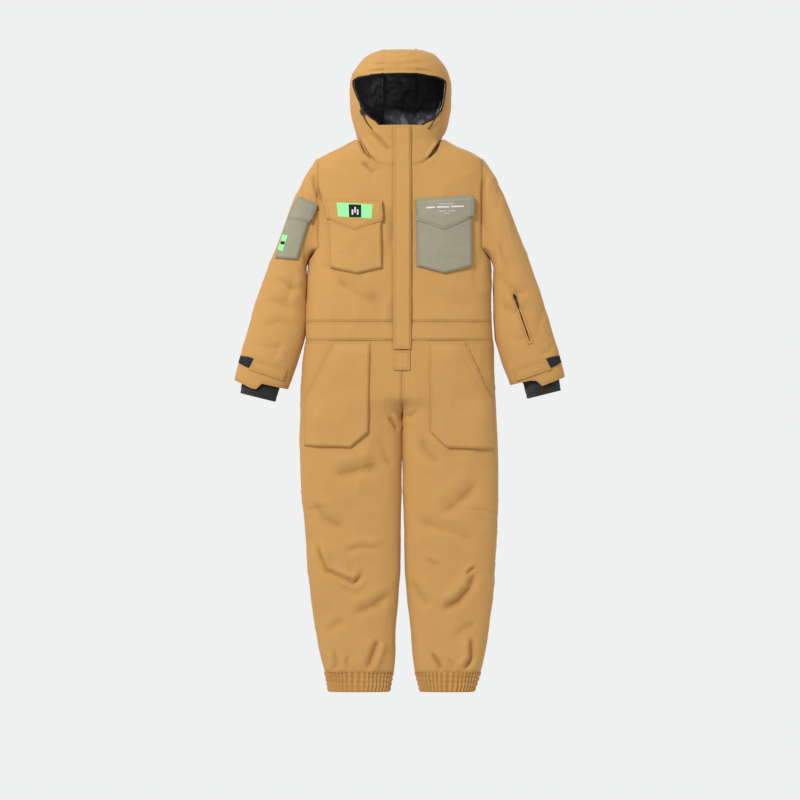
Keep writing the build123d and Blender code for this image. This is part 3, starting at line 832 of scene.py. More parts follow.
def armhole(side):
    """Closed loop of the armhole from its top, down the front and up the back."""
    hs = np.concatenate([np.linspace(1531, 1500, 12), np.linspace(1494, 1275, 44)])
    front, back = [], []
    for h in hs:
        for face, out in ((-1, front), (1, back)):
            poly = half_section(*TORSO(h), face)
            out.append((side * ARM_X, float(np.interp(side * ARM_X, poly[:, 0], poly[:, 1])), h))
    low = np.array([side * half_width(ARM_LOW, side), 0.0, ARM_LOW])
    top = (side * ARM_X, 0.0, 1534.0)
    loop = [top] + front
    for share in (0.3, 0.6, 0.85):
        loop.append(tuple(np.array(front[-1]) * (1 - share) + low * share))
    loop.append(tuple(low))
    for share in (0.15, 0.4, 0.7):
        loop.append(tuple(low * (1 - share) + np.array(back[-1]) * share))
    return np.array(loop + back[::-1] + [top])


def sleeve_ring(side, share):
    """Closed ring of the sleeve from its outer edge, round the front."""
    xo, ho, xi, hi, depth = SLEEVE(share)
    a = np.linspace(0, -2 * np.pi, 400)
    c, s = sup(np.cos(a), np.sin(a), 2.35)
    x = (xo + xi) / 2 + (xo - xi) / 2 * c
    h = (ho + hi) / 2 + (ho - hi) / 2 * c
    return np.column_stack([-side * x, depth * s, h])


def sleeve_grid(side, low, high):
    at = np.linspace(0, 1, 119)[:-1]
    loop = resample(armhole(side), at)
    inner = np.arange(low + 0.012, high - 0.010, 0.0065)
    rows = [low, low + 0.0016, low + 0.0035, low + 0.007] + list(inner) + [high - 0.006, high - 0.003, high]
    grid = []
    for share in rows:
        line = resample(sleeve_ring(side, share), at)
        if share < 0.12:
            w = float(step(0.0, 0.12, share))
            line = loop * (1 - w) + line * w
            tuck = math.exp(-((share / 0.012) ** 2))
            line[:, 0] -= side * 7 * tuck
            line[:, 1] *= 1 - 0.05 * tuck
        grid.append(line)
    grid = np.array(grid)
    return grid if side > 0 else grid[:, ::-1]


# folds of the sleeves, drawn on the right one: line, width, depth, lip
RIGHT_SLEEVE_FOLDS = [
    ([(-300, 1500), (-284, 1440), (-268, 1380)], 11, 3.0, 0.6),
    ([(-360, 1190), (-325, 1168), (-282, 1150)], 12, 4.5, 0.7),
    ([(-385, 1130), (-345, 1118), (-300, 1090)], 13, 3.5, 0.6),
    ([(-300, 1210), (-312, 1160), (-330, 1100)], 12, 3.0, 0.5),
    ([(-395, 1050), (-350, 1062), (-290, 1050)], 14, 3.0, 0.5),
    ([(-430, 1000), (-380, 985), (-330, 992)], 12, 2.5, 0.5),
    ([(-340, 1010), (-352, 975), (-372, 955)], 9, 2.5, 0.5),
]
LEFT_SLEEVE_FOLDS = [
    ([(292, 1505), (284, 1440), (276, 1370)], 11, 3.0, -0.6),
    ([(282, 1300), (292, 1250), (318, 1200)], 12, 3.5, -0.6),
    ([(290, 1185), (330, 1150), (372, 1145)], 12, 4.0, 0.6),
    ([(285, 1120), (325, 1092), (370, 1100)], 13, 3.5, 0.6),
    ([(420, 1120), (400, 1060), (396, 1010)], 12, 2.5, 0.5),
    ([(300, 1030), (340, 1010), (395, 1020)], 12, 2.5, 0.5),
    ([(440, 1010), (432, 980), (400, 965)], 9, 2.5, 0.5),
]


def sleeve_relief(grid, side, face):
    x, h = grid[..., 0], grid[..., 2]
    out = folded(x, h, RIGHT_SLEEVE_FOLDS if side < 0 else LEFT_SLEEVE_FOLDS)
    back = 3.0 * (1 - np.abs(lattice(grid, (60, 60, 75), 91 + side))) ** 3 - 1.0
    return out * step(0.3, -0.2, face) + back * step(-0.2, 0.4, face)


CUFF_HEM = {
    -1: [(-520, 912), (-476, 896), (-454, 886), (-416, 867), (-397, 886), (-328, 871), (-280, 862)],
    1: [(280, 868), (325, 884), (374, 895), (392, 894), (408, 879), (476, 906), (520, 922)],
}


def forearm_grid(side):
    grid = sleeve_grid(side, ELBOW, 1.06)
    hem = np.array(CUFF_HEM[side])
    out = np.empty_like(grid)
    rows = np.linspace(0, 1, len(grid))
    for k in range(grid.shape[1]):
        line = grid[:, k]
        above = line[:, 2] > np.interp(line[:, 0], hem[:, 0], hem[:, 1])
        last = len(line) - 1 if above.all() else int(np.argmin(above))
        a, b = line[last - 1], line[last]
        ga = a[2] - np.interp(a[0], hem[:, 0], hem[:, 1])
        gb = b[2] - np.interp(b[0], hem[:, 0], hem[:, 1])
        t = np.clip(ga / (ga - gb + 1e-9), 0, 1)
        path = np.vstack([line[:last], a + (b - a) * t])
        out[:, k] = resample(path, np.concatenate([rows[:-4] * 0.985, [0.988, 0.993, 0.997, 1.0]]))
    return out


def closed_panel(name, grid, sides, nodes, blend, relief_of, drop=2.2):
    """Tube of cloth from rings of points."""
    wrap = np.concatenate([grid[:, -2:], grid, grid[:, :2]], 1)
    n = normals(wrap)[:, 2:-2]
    gap = edges_of(grid, sides)
    d = relief(grid, n[..., 1]) * 0.7 + relief_of(grid, n[..., 1])
    d = d * (1 - bell(gap, 14) * 0.5)
    ripple = lattice(grid, (9, 9, 9), 43) * 0.5 * bell(gap, 13)
    groove = -drop * bell(gap, 3.2)
    cloth = Cloth(name)
    cloth.grid(grid + n * (d + ripple + groove)[..., None], SHELL, 2.6, closed=True, inside=LINING,
               tone=painted_crease_shade(d, gap), seam=gap)
    return place(cloth.build(), None, nodes, blend)


ARM_TILT = math.radians(20)
sleeves, forearms = {}, {}
for side, word in ((-1, "right"), (1, "left")):
    down = np.array([side * math.cos(ARM_TILT), 0, -math.sin(ARM_TILT)])
    top = np.array([side * 239.0, 0, 1534.0])
    bend = ("suit", "upper_arm_" + word, top + down * 88.6, top + down * 149.7)
    folds = lambda g, f, s=side: sleeve_relief(g, s, f)
    name = "upper_sleeve_" + word
    sleeves[word] = closed_panel(name, sleeve_grid(side, 0.0, ELBOW), "b", [name], bend, folds)
    joint = np.array([side * 330.75, 0, 1180.5])
    along = np.array([side * 0.332, 0, -0.943])
    bend = ("upper_arm_" + word, "forearm_" + word, joint - along * 38, joint + along * 42)
    name = "forearm_sleeve_" + word
    forearms[word] = closed_panel(name, forearm_grid(side), "t", [name], bend, folds, drop=1.2)

# wrist gaiters, ribbed
GAITER = {
    -1: [(-452, 935, -340, 912, 35), (-454, 895, -345, 880, 34), (-459, 859, -359, 834, 33)],
    1: [(340, 912, 452, 938, 35), (356, 885, 458, 900, 34), (367, 843, 463, 867, 33)],
}


def gaiter(side, word):
    count = 264
    angle = np.linspace(0, 2 * np.pi, count, endpoint=False)
    c, s = sup(np.cos(angle), np.sin(angle), 2.2)
    table = np.array(GAITER[side], float)
    grid = []
    for t in np.concatenate([np.linspace(0, 1.9, 20), [1.95, 1.98, 2.0]]):
        xa, ha, xb, hb, depth = [np.interp(t, [0, 1, 2], table[:, i]) for i in range(5)]
        rib = 0.55 * np.cos(44 * angle)
        hem = -1.2 * bell(t - 1.72, 0.03) - 1.2 * math.exp(-(((2 - t) / 0.02) ** 2))
        length = math.hypot(xb - xa, hb - ha)
        grow = rib + hem + 1.2 * lattice(np.column_stack([60 * c, 60 * s, 0 * c + t * 30]), 24, 95)
        half = 1 + 2 * grow / length
        x = (xa + xb) / 2 + (xb - xa) / 2 * c * half
        h = (ha + hb) / 2 + (hb - ha) / 2 * c * half
        grid.append(np.column_stack([x, (depth + grow) * s, h]))
    cloth = Cloth("wrist_gaiter_" + word)
    cloth.grid(np.array(grid)[::-1], KNIT, 1.8, closed=True)
    return place(cloth.build(), "forearm_" + word, ["wrist_gaiter_" + word], slot="knit_gaiter")


for side, word in ((-1, "right"), (1, "left")):
    gaiter(side, word)


# ---- hood and collar
HOOD = smooth([
    (1500, -122, 122, -89, 67), (1560, -121, 119, -89, 68), (1588, -122, 119, -90, 72), (1600, -125, 124, -92, 76),
    (1617, -130, 134, -95, 88), (1646, -138, 141, -99, 100), (1690, -143.5, 146, -106, 112),
    (1745, -144, 147, -114, 118), (1773, -138, 140, -118, 112), (1796, -124, 130, -119, 102),
    (1819, -105, 113, -111, 86), (1834, -84, 97, -98, 68), (1843, -58, 72, -78, 44),
])


def hood_line(y):
    return 1611.16 - 0.16842 * y


def hood_power(h):
    return 2.7 - 0.4 * step(1660, 1790, h)


def hood_point(h, angle):
    """Point of the hood's section at a height; angle 0 is the left side, -90 degrees the front."""
    xr, xl, yf, yb = HOOD(h)
    c, s = sup(np.cos(angle), np.sin(angle), hood_power(h))
    mid = (yf + yb) / 2 - 6
    return np.stack([(xr + xl) / 2 + (xl - xr) / 2 * c, mid + np.where(s < 0, mid - yf, yb - mid) * s, 0 * c + h], -1)


def ring_at(h, a):
    """Points of the hood and collar where each angle has its own height."""
    xr, xl, yf, yb = HOOD(h).T
    c, s = sup(np.cos(a), np.sin(a), hood_power(h))
    mid = (yf + yb) / 2 - 6
    return np.column_stack([(xr + xl) / 2 + (xl - xr) / 2 * c, mid + np.where(s < 0, mid - yf, yb - mid) * s, h])


def collar_front(side):
    """Half of the collar's front, from its side to the zip."""
    a = np.linspace(np.pi, 1.5 * np.pi, 160) if side < 0 else np.linspace(1.5 * np.pi, 2 * np.pi, 160)
    cols = shares(165, 4.2)
    level = hood_point(1600, a)
    low, high = neck_height(level[:, 0]), hood_line(level[:, 1]) - 0.5
    grid = []
    for t in [0, 0.008, 0.018, 0.03, 0.05] + list(np.linspace(0.08, 0.95, 26)) + [0.968, 0.982, 0.991, 1.0]:
        points = ring_at(low * (1 - t) + high * t, a)
        limit = ZIP_RIGHT if side < 0 else ZIP_LEFT
        points = points[(points[:, 0] <= limit) if side < 0 else (points[:, 0] >= limit)]
        end = points[-1 if side < 0 else 0].copy()
        end[0] = limit
        grid.append(resample(np.vstack([points, end] if side < 0 else [end, points]), cols))
    return np.array(grid)


def collar_back():
    a = np.linspace(np.pi, 0, 200)
    level = hood_point(1600, a)
    high = hood_line(level[:, 1]) - 0.5
    low = 1556 + 27 * step(62, 112, np.abs(level[:, 0]))
    cols = shares(300, 5)
    return np.array([resample(ring_at(low * (1 - t) + high * t, a), cols)
                     for t in [0, 0.05, 0.15, 0.3, 0.45, 0.6, 0.75, 0.87, 0.95, 1.0]])[:, ::-1]


def under_neck(edge):
    """Step outwards and down from the collar's lower edge, below the bodice."""
    out = np.sign(edge[:, 0]) * step(35, 100, np.abs(edge[:, 0])) * 32
    return np.column_stack([out, np.where(edge[:, 1] < 0, 4.0, -4.0), 0 * out - 13])


panel("collar_front_right", collar_front(-1), "rb", node=["collar_front"], thickness=3.0, drop=1.2,
      tuck=under_neck, fade="t")
panel("collar_front_left", collar_front(1), "lb", thickness=3.0, drop=1.2, tuck=under_neck, fade="t")
panel("collar_back", collar_back(), "b", node=["collar_back"], thickness=3.0, calm=0.5, tuck=under_neck, fade="t")

# face opening: height to the x of its edge on each side
FACE = {
    -1: [(1600, -46), (1628, -60), (1637, -69), (1648, -85), (1657, -95), (1680, -109), (1705, -122), (1729, -131),
         (1745, -135), (1756, -135), (1762, -126), (1766, -108), (1769, -80), (1771, -46)],
    1: [(1600, 60), (1628, 64), (1636, 80), (1644, 96), (1651, 104), (1668, 118), (1686, 124), (1708, 128),
        (1729, 130), (1745, 132), (1754, 130), (1761, 118), (1767, 90), (1771, 46)],
}
SEAM_X, HOOD_LOW, BROW, CROWN = 46.0, 1597, 1771, 1843
HOOD_FOLDS = [
    ([(-118, 1776), (-60, 1781), (0, 1784), (60, 1781), (108, 1773)], 4.0, 3.2, 0.8),
    ([(-104, 1797), (-50, 1799), (0, 1797), (52, 1806), (104, 1800)], 5.5, 4.6, 0.8),
    ([(-92, 1812), (-40, 1819), (10, 1815), (60, 1820)], 6, 3.6, 0.7),
    ([(-136, 1690), (-128, 1650), (-112, 1610)], 8, 2.6, 0.6),
    ([(138, 1720), (128, 1680), (112, 1652)], 6, 4.0, -0.8),
    ([(-98, 1640), (-92, 1622), (-100, 1606)], 5, 2.4, 0.6),
    ([(96, 1640), (104, 1622), (100, 1604)], 5, 2.6, 0.6),
]


def hood_rows():
    low = list(np.linspace(0, 0.72, 34))
    brow = list(np.linspace(0.735, 0.80, 12))
    return low + brow + list(np.linspace(0.81, 0.95, 14)) + list(np.linspace(0.957, 1.0, 8))


def hood_side(side):
    """Side panel: rings from the face edge (or the front seam above it) round to the back seam."""
    cols = shares(330, 4.6)
    face = np.array(FACE[side])
    grid = []
    for t in hood_rows():
        h_level = HOOD_LOW + (CROWN - HOOD_LOW) * t
        a = np.linspace(1.5 * np.pi, 0.5 * np.pi, 300) if side < 0 else np.linspace(-0.5 * np.pi, 0.5 * np.pi, 300)
        tilt = float(step(0.28, 0.0, t))
        points = hood_point(h_level, a)
        base = hood_line(points[:, 1]) + 0.5 + (h_level - HOOD_LOW)
        h = h_level * (1 - tilt) + base * tilt
        points = ring_at(h, a)
        mid = (HOOD(h)[:, 2] + HOOD(h)[:, 3]) / 2 - 6
        edge = np.where(h < BROW, np.interp(h, face[:, 0], face[:, 1]), side * SEAM_X)
        front = points[:, 1] < mid
        keep = (~front & (side * points[:, 0] >= SEAM_X)) | (front & (side * points[:, 0] >= side * edge))
        index = np.nonzero(keep)[0]
        first, last = index[0], index[-1]
        kept = points[first : last + 1]
        if first > 0:
            p, q = points[first - 1], points[first]
            w = np.clip((edge[first] - p[0]) / (q[0] - p[0] + 1e-9), 0, 1)
            kept = np.vstack([p + (q - p) * w, kept])
        if last < len(points) - 1:
            p, q = points[last], points[last + 1]
            w = np.clip((side * SEAM_X - p[0]) / (q[0] - p[0] + 1e-9), 0, 1)
            kept = np.vstack([kept, p + (q - p) * w])
        grid.append(resample(kept, cols))
    crown = grid[-1]
    chord = np.column_stack([np.full(len(crown), side * SEAM_X), crown[:, 1], crown[:, 2] + 1.5])
    for share in (0.35, 0.7, 1.0):
        grid.append(crown * (1 - share) + chord * share)
    grid = np.array(grid)
    return grid if side > 0 else grid[:, ::-1]


def seam_path(x):
    """Line of the hood at x from the brim, over the crown, down to the back of the neck."""
    a_front, a_back = np.linspace(-np.pi, 0, 400), np.linspace(np.pi, 0, 400)

    def at(h, angles):
        p = hood_point(h, angles)
        return np.interp(x, p[:, 0], p[:, 1])

    front = [(x, at(h, a_front), h) for h in np.concatenate([np.linspace(1772, 1834, 18), [1838, 1841, CROWN]])]
    back = [(x, at(h, a_back), h) for h in np.concatenate([[CROWN, 1841, 1838], np.linspace(1834, 1610, 40)])]
    lift = 3.5 * (1 - (x / 60) ** 2)
    top = [(x, y, CROWN + lift * math.sin(math.pi * (i + 1) / 8) ** 0.7)
           for i, y in enumerate(np.linspace(front[-1][1], back[0][1], 9)[1:-1])]
    end_y = back[-1][1] - 3
    return np.array(front + top + back + [(x, end_y, hood_line(end_y) + 0.5), (x, end_y - 4, hood_line(end_y) - 9)])


def hood_centre():
    xs = 2 * SEAM_X * shares(2 * SEAM_X, 4.6) - SEAM_X
    return np.array([resample(seam_path(x), shares(430, 4.6)) for x in xs]).transpose(1, 0, 2)


def hood_relief(grid):
    x, h = grid[..., 0], grid[..., 2]
    out = folded(x, h, HOOD_FOLDS)
    front = step(-20, -60, grid[..., 1])
    soft = 1.6 * (1 - np.abs(lattice(grid, (60, 60, 45), 101))) ** 3 + 1.0 * lattice(grid, (40, 40, 40), 103)
    return out * front + soft * step(-60, 0, grid[..., 1]) + 0.5 * lattice(grid, 22, 105)


def into_collar(edge):
    """Step inwards and down from the hood's lower edge, inside the collar."""
    inward = np.column_stack([-edge[:, 0], -10 - edge[:, 1], 0 * edge[:, 0]])
    return 5 * inward / np.linalg.norm(inward, axis=1)[:, None] + [0, 0, -10]


# points of a bend between the collar band and the rest of the hood; the panels that take them are baked in place and
# don't turn
HOOD_BEND = ("suit", "hood", (0, 0, 1611.2), (0, 12.4, 1684.8))
hood_grids = {"right": hood_side(-1), "left": hood_side(1), "centre": hood_centre()}
for word, node, under, low in (("right", "hood_side_right", into_collar, "b"),
                               ("left", "hood_side_left", into_collar, "b"), ("centre", "hood_centre", None, "t")):
    base = hood_grids[word]
    panel(node, base, "lr", node=[node], blend=HOOD_BEND, thickness=2.8, calm=0.3,
                             extra=hood_relief(base), tuck=under, fade=low,
                             quiet=step(20, -50, base[..., 1]) * step(1762, 1778, base[..., 2]))
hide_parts("hood_brim")


def lining(word, grid):
    """Crinkled lining a few millimetres inside the hood."""
    if word == "centre":
        grid = grid * [1.07, 1, 1]
    n = normals(grid)
    gap = edges_of(grid, "lrbt")
    crease = (1 - np.abs(lattice(grid + 14 * lattice(grid, 40, 111)[..., None], (46, 46, 34), 113))) ** 5
    fine = (1 - np.abs(lattice(grid + 8 * lattice(grid, 20, 115)[..., None], (19, 19, 15), 117))) ** 4
    d = -5.2 - 5.0 * crease - 2.0 * fine + 1.5 * lattice(grid, 30, 119)
    d = np.where(gap < 8, -3.8 + (d + 3.8) * gap / 8, d)
    cloth = Cloth("hood_lining_" + word)
    moved = grid + n * d[..., None]
    cloth.grid(moved, LINING, 0.8, seam=gap)
    return place(cloth.build(), "hood", blend=HOOD_BEND, slot="lining_fabric")


linings = [lining(word, grid) for word, grid in hood_grids.items()]
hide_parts("hood_lining")


def tube_along(points, radius, count=8):
    """Vertices, faces and UVs of a tube along a polyline."""
    points = np.asarray(points, float)
    tangent = np.gradient(points, axis=0)
    tangent /= np.linalg.norm(tangent, axis=1)[:, None] + 1e-9
    up = np.tile([0.0, 1.0, 0.0], (len(points), 1))
    a = np.cross(tangent, up)
    a /= np.linalg.norm(a, axis=1)[:, None] + 1e-9
    b = np.cross(a, tangent)
    rings = []
    for k in range(count):
        t = 2 * math.pi * k / count
        rings.append(points + radius * (math.cos(t) * a + math.sin(t) * b))
    verts = np.array(rings).transpose(1, 0, 2).reshape(-1, 3)
    faces, uvs = [], []
    run = np.concatenate([[0], np.cumsum(np.linalg.norm(np.diff(points, axis=0), axis=1))]) * MM
    for i in range(len(points) - 1):
        for k in range(count):
            m = (k + 1) % count
            faces.append((i * count + k, i * count + m, (i + 1) * count + m, (i + 1) * count + k))
            u0, u1 = k / count * radius * 6 * MM, (k + 1) / count * radius * 6 * MM
            uvs.append(((u0, run[i]), (u1, run[i]), (u1, run[i + 1]), (u0, run[i + 1])))
    faces.append(tuple(range(count))[::-1])
    uvs.append([(0.0, 0.0)] * count)
    faces.append(tuple((len(points) - 1) * count + k for k in range(count)))
    uvs.append([(0.0, 0.0)] * count)
    return verts, faces, uvs


right_edge, left_edge = (line[(line[:, 1] < 0) & (line[:, 2] < BROW + 0.5)]
                         for line in (hood_grids["right"][:, -1], hood_grids["left"][:, 0]))
brow = hood_grids["centre"][0, ::2]
face_edge = np.vstack([right_edge, brow[brow[:, 0].argsort()], left_edge[::-1]])
face_edge = resample(face_edge, np.linspace(0, 1, 150))
verts, faces, uvs = tube_along(face_edge + np.array([0, 1.0, 0]), 2.1)
binding = Cloth("face_binding")
binding.add(verts, faces, uvs, BINDING)
place(binding.build(), "hood", blend=HOOD_BEND, slot="lining_fabric")


# ---- pieces sewn or hung on the cloth
def project(tree, x, h, guess=-90.0):
    """Points on the cloth in front of each (x, height)."""
    flat_x, flat_h = np.ravel(x), np.ravel(h)
    out = np.empty((len(flat_x), 3))
    for i, (px, ph) in enumerate(zip(flat_x, flat_h)):
        hit = tree.ray_cast(Vector((px, -400, ph)), Vector((0, 1, 0)))[0]
        if hit is None:
            hit = tree.find_nearest(Vector((px, guess, ph)))[0]
        out[i] = hit
    return out.reshape(*np.shape(x), 3)


def relaxed(grid, rounds):
    """Grid with its small wrinkles averaged away, its border kept."""
    g = grid.copy()
    for _ in range(rounds):
        y = g[..., 1].copy()
        g[1:-1, 1:-1, 1] = (y[:-2, 1:-1] + y[2:, 1:-1] + y[1:-1, :-2] + y[1:-1, 2:]) / 4
        g[0, 1:-1, 1] = (g[0, :-2, 1] + g[0, 2:, 1]) / 2
        g[-1, 1:-1, 1] = (g[-1, :-2, 1] + g[-1, 2:, 1]) / 2
    return g


def coons(bottom, top, left, right, u, v):
    """Grid of (x, height) between four border lines; left and right rise."""
    b, t = resample(np.array(bottom, float), u), resample(np.array(top, float), u)
    lo, ro = resample(np.array(left, float), v), resample(np.array(right, float), v)
    u, v = u[None, :, None], v[:, None, None]
    corners = (1 - u) * (1 - v) * b[0] + u * (1 - v) * b[-1] + (1 - u) * v * t[0] + u * v * t[-1]
    return (1 - v) * b[None] + v * t[None] + (1 - u) * lo[:, None] + u * ro[:, None] - corners


def length_of(line):
    return float(np.linalg.norm(np.diff(np.array(line, float), axis=0), axis=1).sum())


def sewn(name, sides, tree, lift, material, body, nodes=(), slot="shell_fabric", thickness=1.8, calm=14, spacing_mm=3.2,
         edge=(0.5, 1.2, 2.4, 4.5), seams="lrbt", drop=0.5, shade_gain=0.5, guess=-90.0, facing=0.0):
    """Patch of cloth over an outline given as bottom, top, left and right lines; lift(gaps, grid) is its height."""
    bottom, top, left, right = sides
    u = shares(max(length_of(bottom), length_of(top)), spacing_mm, edge)
    v = shares(max(length_of(left), length_of(right)), spacing_mm, edge)
    flat = coons(bottom, top, left, right, u, v)
    on_cloth = project(tree, flat[..., 0], flat[..., 1], guess)
    ground = relaxed(on_cloth, calm)
    if facing:
        ground[..., 1] = np.minimum(ground[..., 1], on_cloth[..., 1])
    n = normals(ground) * (1 - facing) + np.array([0, -1.0, 0]) * facing
    for _ in range(6):
        n[1:-1, 1:-1] = (n[:-2, 1:-1] + n[2:, 1:-1] + n[1:-1, :-2] + n[1:-1, 2:]) / 4
    n /= np.linalg.norm(n, axis=2, keepdims=True)
    gaps = {k: edges_of(ground, k) for k in "lrbt"}
    up_by = lift(gaps, ground)
    gap = edges_of(ground, seams)
    soft = 0.5 * lattice(ground, (34, 34, 34), 131) + 0.35 * lattice(ground, (13, 13, 13), 133)
    d = up_by + (soft - drop * bell(gap, 2.2) - 0.3 * bell(gap - 6, 1.2))
    # painted shade along the patch's edges and in the hollows of its soft relief
    tone = np.clip(shade_gain * bell(edges_of(ground, "lrbt"), 1.6) + np.clip(-soft, 0, 1) * 0.1, 0, 1)
    cloth = Cloth(name)
    cloth.grid(ground + n * d[..., None], material, thickness, tone=tone, seam=gap)
    return place(cloth.build(), body, nodes, slot=slot)


def applied(name, sides, on, height, material, body, nodes, slot, thickness, calm, spacing_mm, edge, shade_gain=0,
            **how):
    """Thin piece laid flat on another, without a sewn edge."""
    return sewn(name, sides, on, level_lift(height), material, body, nodes, slot, thickness, calm, spacing_mm, edge,
                seams="", drop=0, shade_gain=shade_gain, **how)


def straight(outline_bottom, outline_top):
    """The four sides of a patch whose left and right edges are straight."""
    return (outline_bottom, outline_top, [outline_bottom[0], outline_top[0]], [outline_bottom[-1], outline_top[-1]])


def rise(d, over):
    return 1 - np.exp(-((d / over) ** 2))


def low_edge(gaps):
    """Distance to the nearest of the left, right and bottom edges."""
    return np.minimum(np.minimum(gaps["l"], gaps["r"]), gaps["b"])


def bag(depth, crown):
    """Height of a bellows pocket: steep sides, a crown low in the middle, and a sloping top."""

    def lift(gaps, ground):
        side = low_edge(gaps)
        width = gaps["l"] + gaps["r"]
        height = gaps["b"] + gaps["t"]
        across, along = (np.clip(np.sin(np.pi * k), 0, 1) for k in (gaps["l"] / width, (gaps["b"] / height) ** 0.7))
        belly = across**0.8 * along
        top = step(0, 18.0, gaps["t"])
        crease = 0.9 * (1 - np.abs(lattice(ground, (46, 46, 30), 141))) ** 4
        return (depth * rise(side, 2.0) + crown * belly - crease * 1.4 + 0.7) * (0.12 + 0.88 * top)

    return lift


def flap_lift(depth, root, over=13.0):
    def lift(gaps, ground):
        edge = low_edge(gaps)
        rolled = step(0, over, gaps["t"])
        return root + (depth - root) * rolled - 1.3 * bell(edge, 5) * rolled

    return lift


def level_lift(height):
    return lambda gaps, ground: height + 0 * gaps["l"]


front_right, front_left = tree_of(bodice["right"]), tree_of(bodice["left"])
sewn(
    "chest_pocket_right", straight([(-199, 1218), (-124, 1200), (-50.5, 1217)], [(-207, 1411), (-52, 1409)]),
    front_right, bag(10.5, 1.6), SHELL, "suit", ["chest_pocket_right"])
sewn(
    "chest_pocket_left", straight([(47.5, 1221.5), (125.6, 1200.4), (205, 1221.5)], [(45.5, 1413), (203, 1425)]),
    front_left, bag(10.5, 1.6), GREEN, "suit", ["chest_pocket_left"], slot="contrast_fabric")
flap_right = sewn(
    "chest_flap_right", straight([(-202, 1356), (-130, 1326), (-48, 1354)], [(-210, 1413), (-50, 1411)]),
    front_right, flap_lift(15.2, 3.0), SHELL, "chest_flap_right", ["chest_flap_right"], seams="lrbt")
flap_left = sewn(
    "chest_flap_left", straight([(46, 1355), (126.4, 1327), (206, 1365)], [(44, 1415), (205, 1427)]),
    front_left, flap_lift(15.2, 3.0), GREEN, "chest_flap_left", ["chest_flap_left"], slot="contrast_fabric")
label = applied(
    "chest_label", straight([(-177, 1364), (-81, 1358)], [(-181, 1404), (-78, 1398)]), tree_of(flap_right), 1.0, MINT,
    "chest_flap_right", ["chest_label"], "label_green", 0.7, 8, 2.4, (0.4, 1.0, 2.0), 0.3)
badge = applied(
    "chest_badge", straight([(-145.5, 1362.5), (-111, 1361.5)], [(-146.5, 1399), (-111, 1397.5)]), tree_of(label), 0.7,
    BADGE, "chest_flap_right", ["chest_badge"], "badge_black", 0.5, 6, 2.0, (0.3, 0.8, 1.6), 0.2)
badge_tree, flap_tree = tree_of(badge), tree_of(flap_left)
# plain mark of three bars, in place of the maker's own: x, low, high
for k, (x, low, high) in enumerate(((-138, 1369, 1384), (-130.5, 1375, 1391), (-123, 1369, 1384))):
    applied("badge_mark_%d" % k, straight([(x, low), (x + 4.5, low)], [(x, high), (x + 4.5, high)]), badge_tree, 0.35,
            PRINT, "chest_flap_right", (), "badge_black", 0.25, 2, 1.5, (0.3, 0.8))
# plain printed bars on the left chest flap: left, right, height, tall
for k, (x0, x1, h, tall) in enumerate((
        (112, 154, 1398.5, 1.6), (70, 100, 1387, 4.2), (105, 141, 1388.5, 4.2), (146, 183, 1390.5, 4.2),
        (110, 132, 1378, 1.5), (137, 158, 1379, 1.5), (126, 142, 1372, 1.3))):
    applied("flap_print_%d" % k, straight([(x0, h), (x1, h + 1)], [(x0, h + tall), (x1, h + 1 + tall)]), flap_tree,
            0.25, PRINT, "chest_flap_left", (), "contrast_fabric", 0.2, 2, 2.5, (0.3, 0.6))

# sleeve pocket
arm_tree = tree_of(sleeves["right"], forearms["right"])
sleeve_pocket = sewn(
    "sleeve_pocket",
    ([(-359, 1246), (-293, 1240)], [(-297, 1421), (-244, 1397)], [(-359, 1246), (-327, 1352), (-297, 1421)],
     [(-293, 1240), (-262, 1347), (-244, 1397)]),
    arm_tree, bag(9.0, 1.5), GREEN, "upper_arm_right", ["sleeve_pocket"], "contrast_fabric", guess=-40.0, facing=0.8)
sleeve_flap = sewn(
    "sleeve_pocket_flap", straight([(-322, 1358), (-256, 1349)], [(-293, 1425), (-236, 1401)]), arm_tree,
    flap_lift(13.0, 4.0, 10.0), GREEN, "sleeve_pocket_flap", ["sleeve_pocket_flap"], "contrast_fabric", guess=-40.0,
    facing=0.8)
applied("sleeve_flap_tab", straight([(-259, 1343), (-251, 1341)], [(-256, 1356), (-247, 1354)]), tree_of(sleeve_flap),
        1.0, BADGE, "sleeve_pocket_flap", (), "badge_black", 0.8, 2, 2.0, (0.3, 0.8), guess=-60.0, facing=1.0)
sleeve_label = applied(
    "sleeve_label", straight([(-352, 1271), (-336, 1266)], [(-337, 1315), (-322, 1312)]), tree_of(sleeve_pocket), 1.2,
    MINT, "upper_arm_right", ["sleeve_label"], "label_green", 0.6, 0, 2.2, (0.4, 1.0), 0.3, guess=-60.0, facing=1.0)
applied("sleeve_label_bar", straight([(-347, 1288.5), (-332, 1285)], [(-345, 1297), (-330, 1293.5)]),
        tree_of(sleeve_label), 0.6, BADGE, "upper_arm_right", (), "label_green", 0.3, 0, 2.0, (0.3, 0.8), guess=-60.0,
        facing=1.0)

# cuff tabs and their hook-and-loop ends
TAB = [[(-433, 927), (-337, 895)], [(-419, 957), (-325, 928)]]
TAB_END = [[(-461, 946), (-430, 933)], [(-455, 967), (-418, 957)]]
for side, word in ((-1, "right"), (1, "left")):
    cuff_tree = tree_of(forearms[word])
    for part, (low, high), material, slot, height in (
            ("cuff_tab_", TAB, SHELL, "shell_fabric", 3.6), ("cuff_tab_end_", TAB_END, HOOKS, "hook_tape", 4.4)):
        low, high = (sorted((-side * x, h) for x, h in line) for line in (low, high))
        sewn(part + word, straight(low, high), cuff_tree, level_lift(height), material, "cuff_strap_" + word,
             [part + word], slot, 1.8, 10, 3.0, seams="lrbt" if part == "cuff_tab_" else "", guess=-30.0)

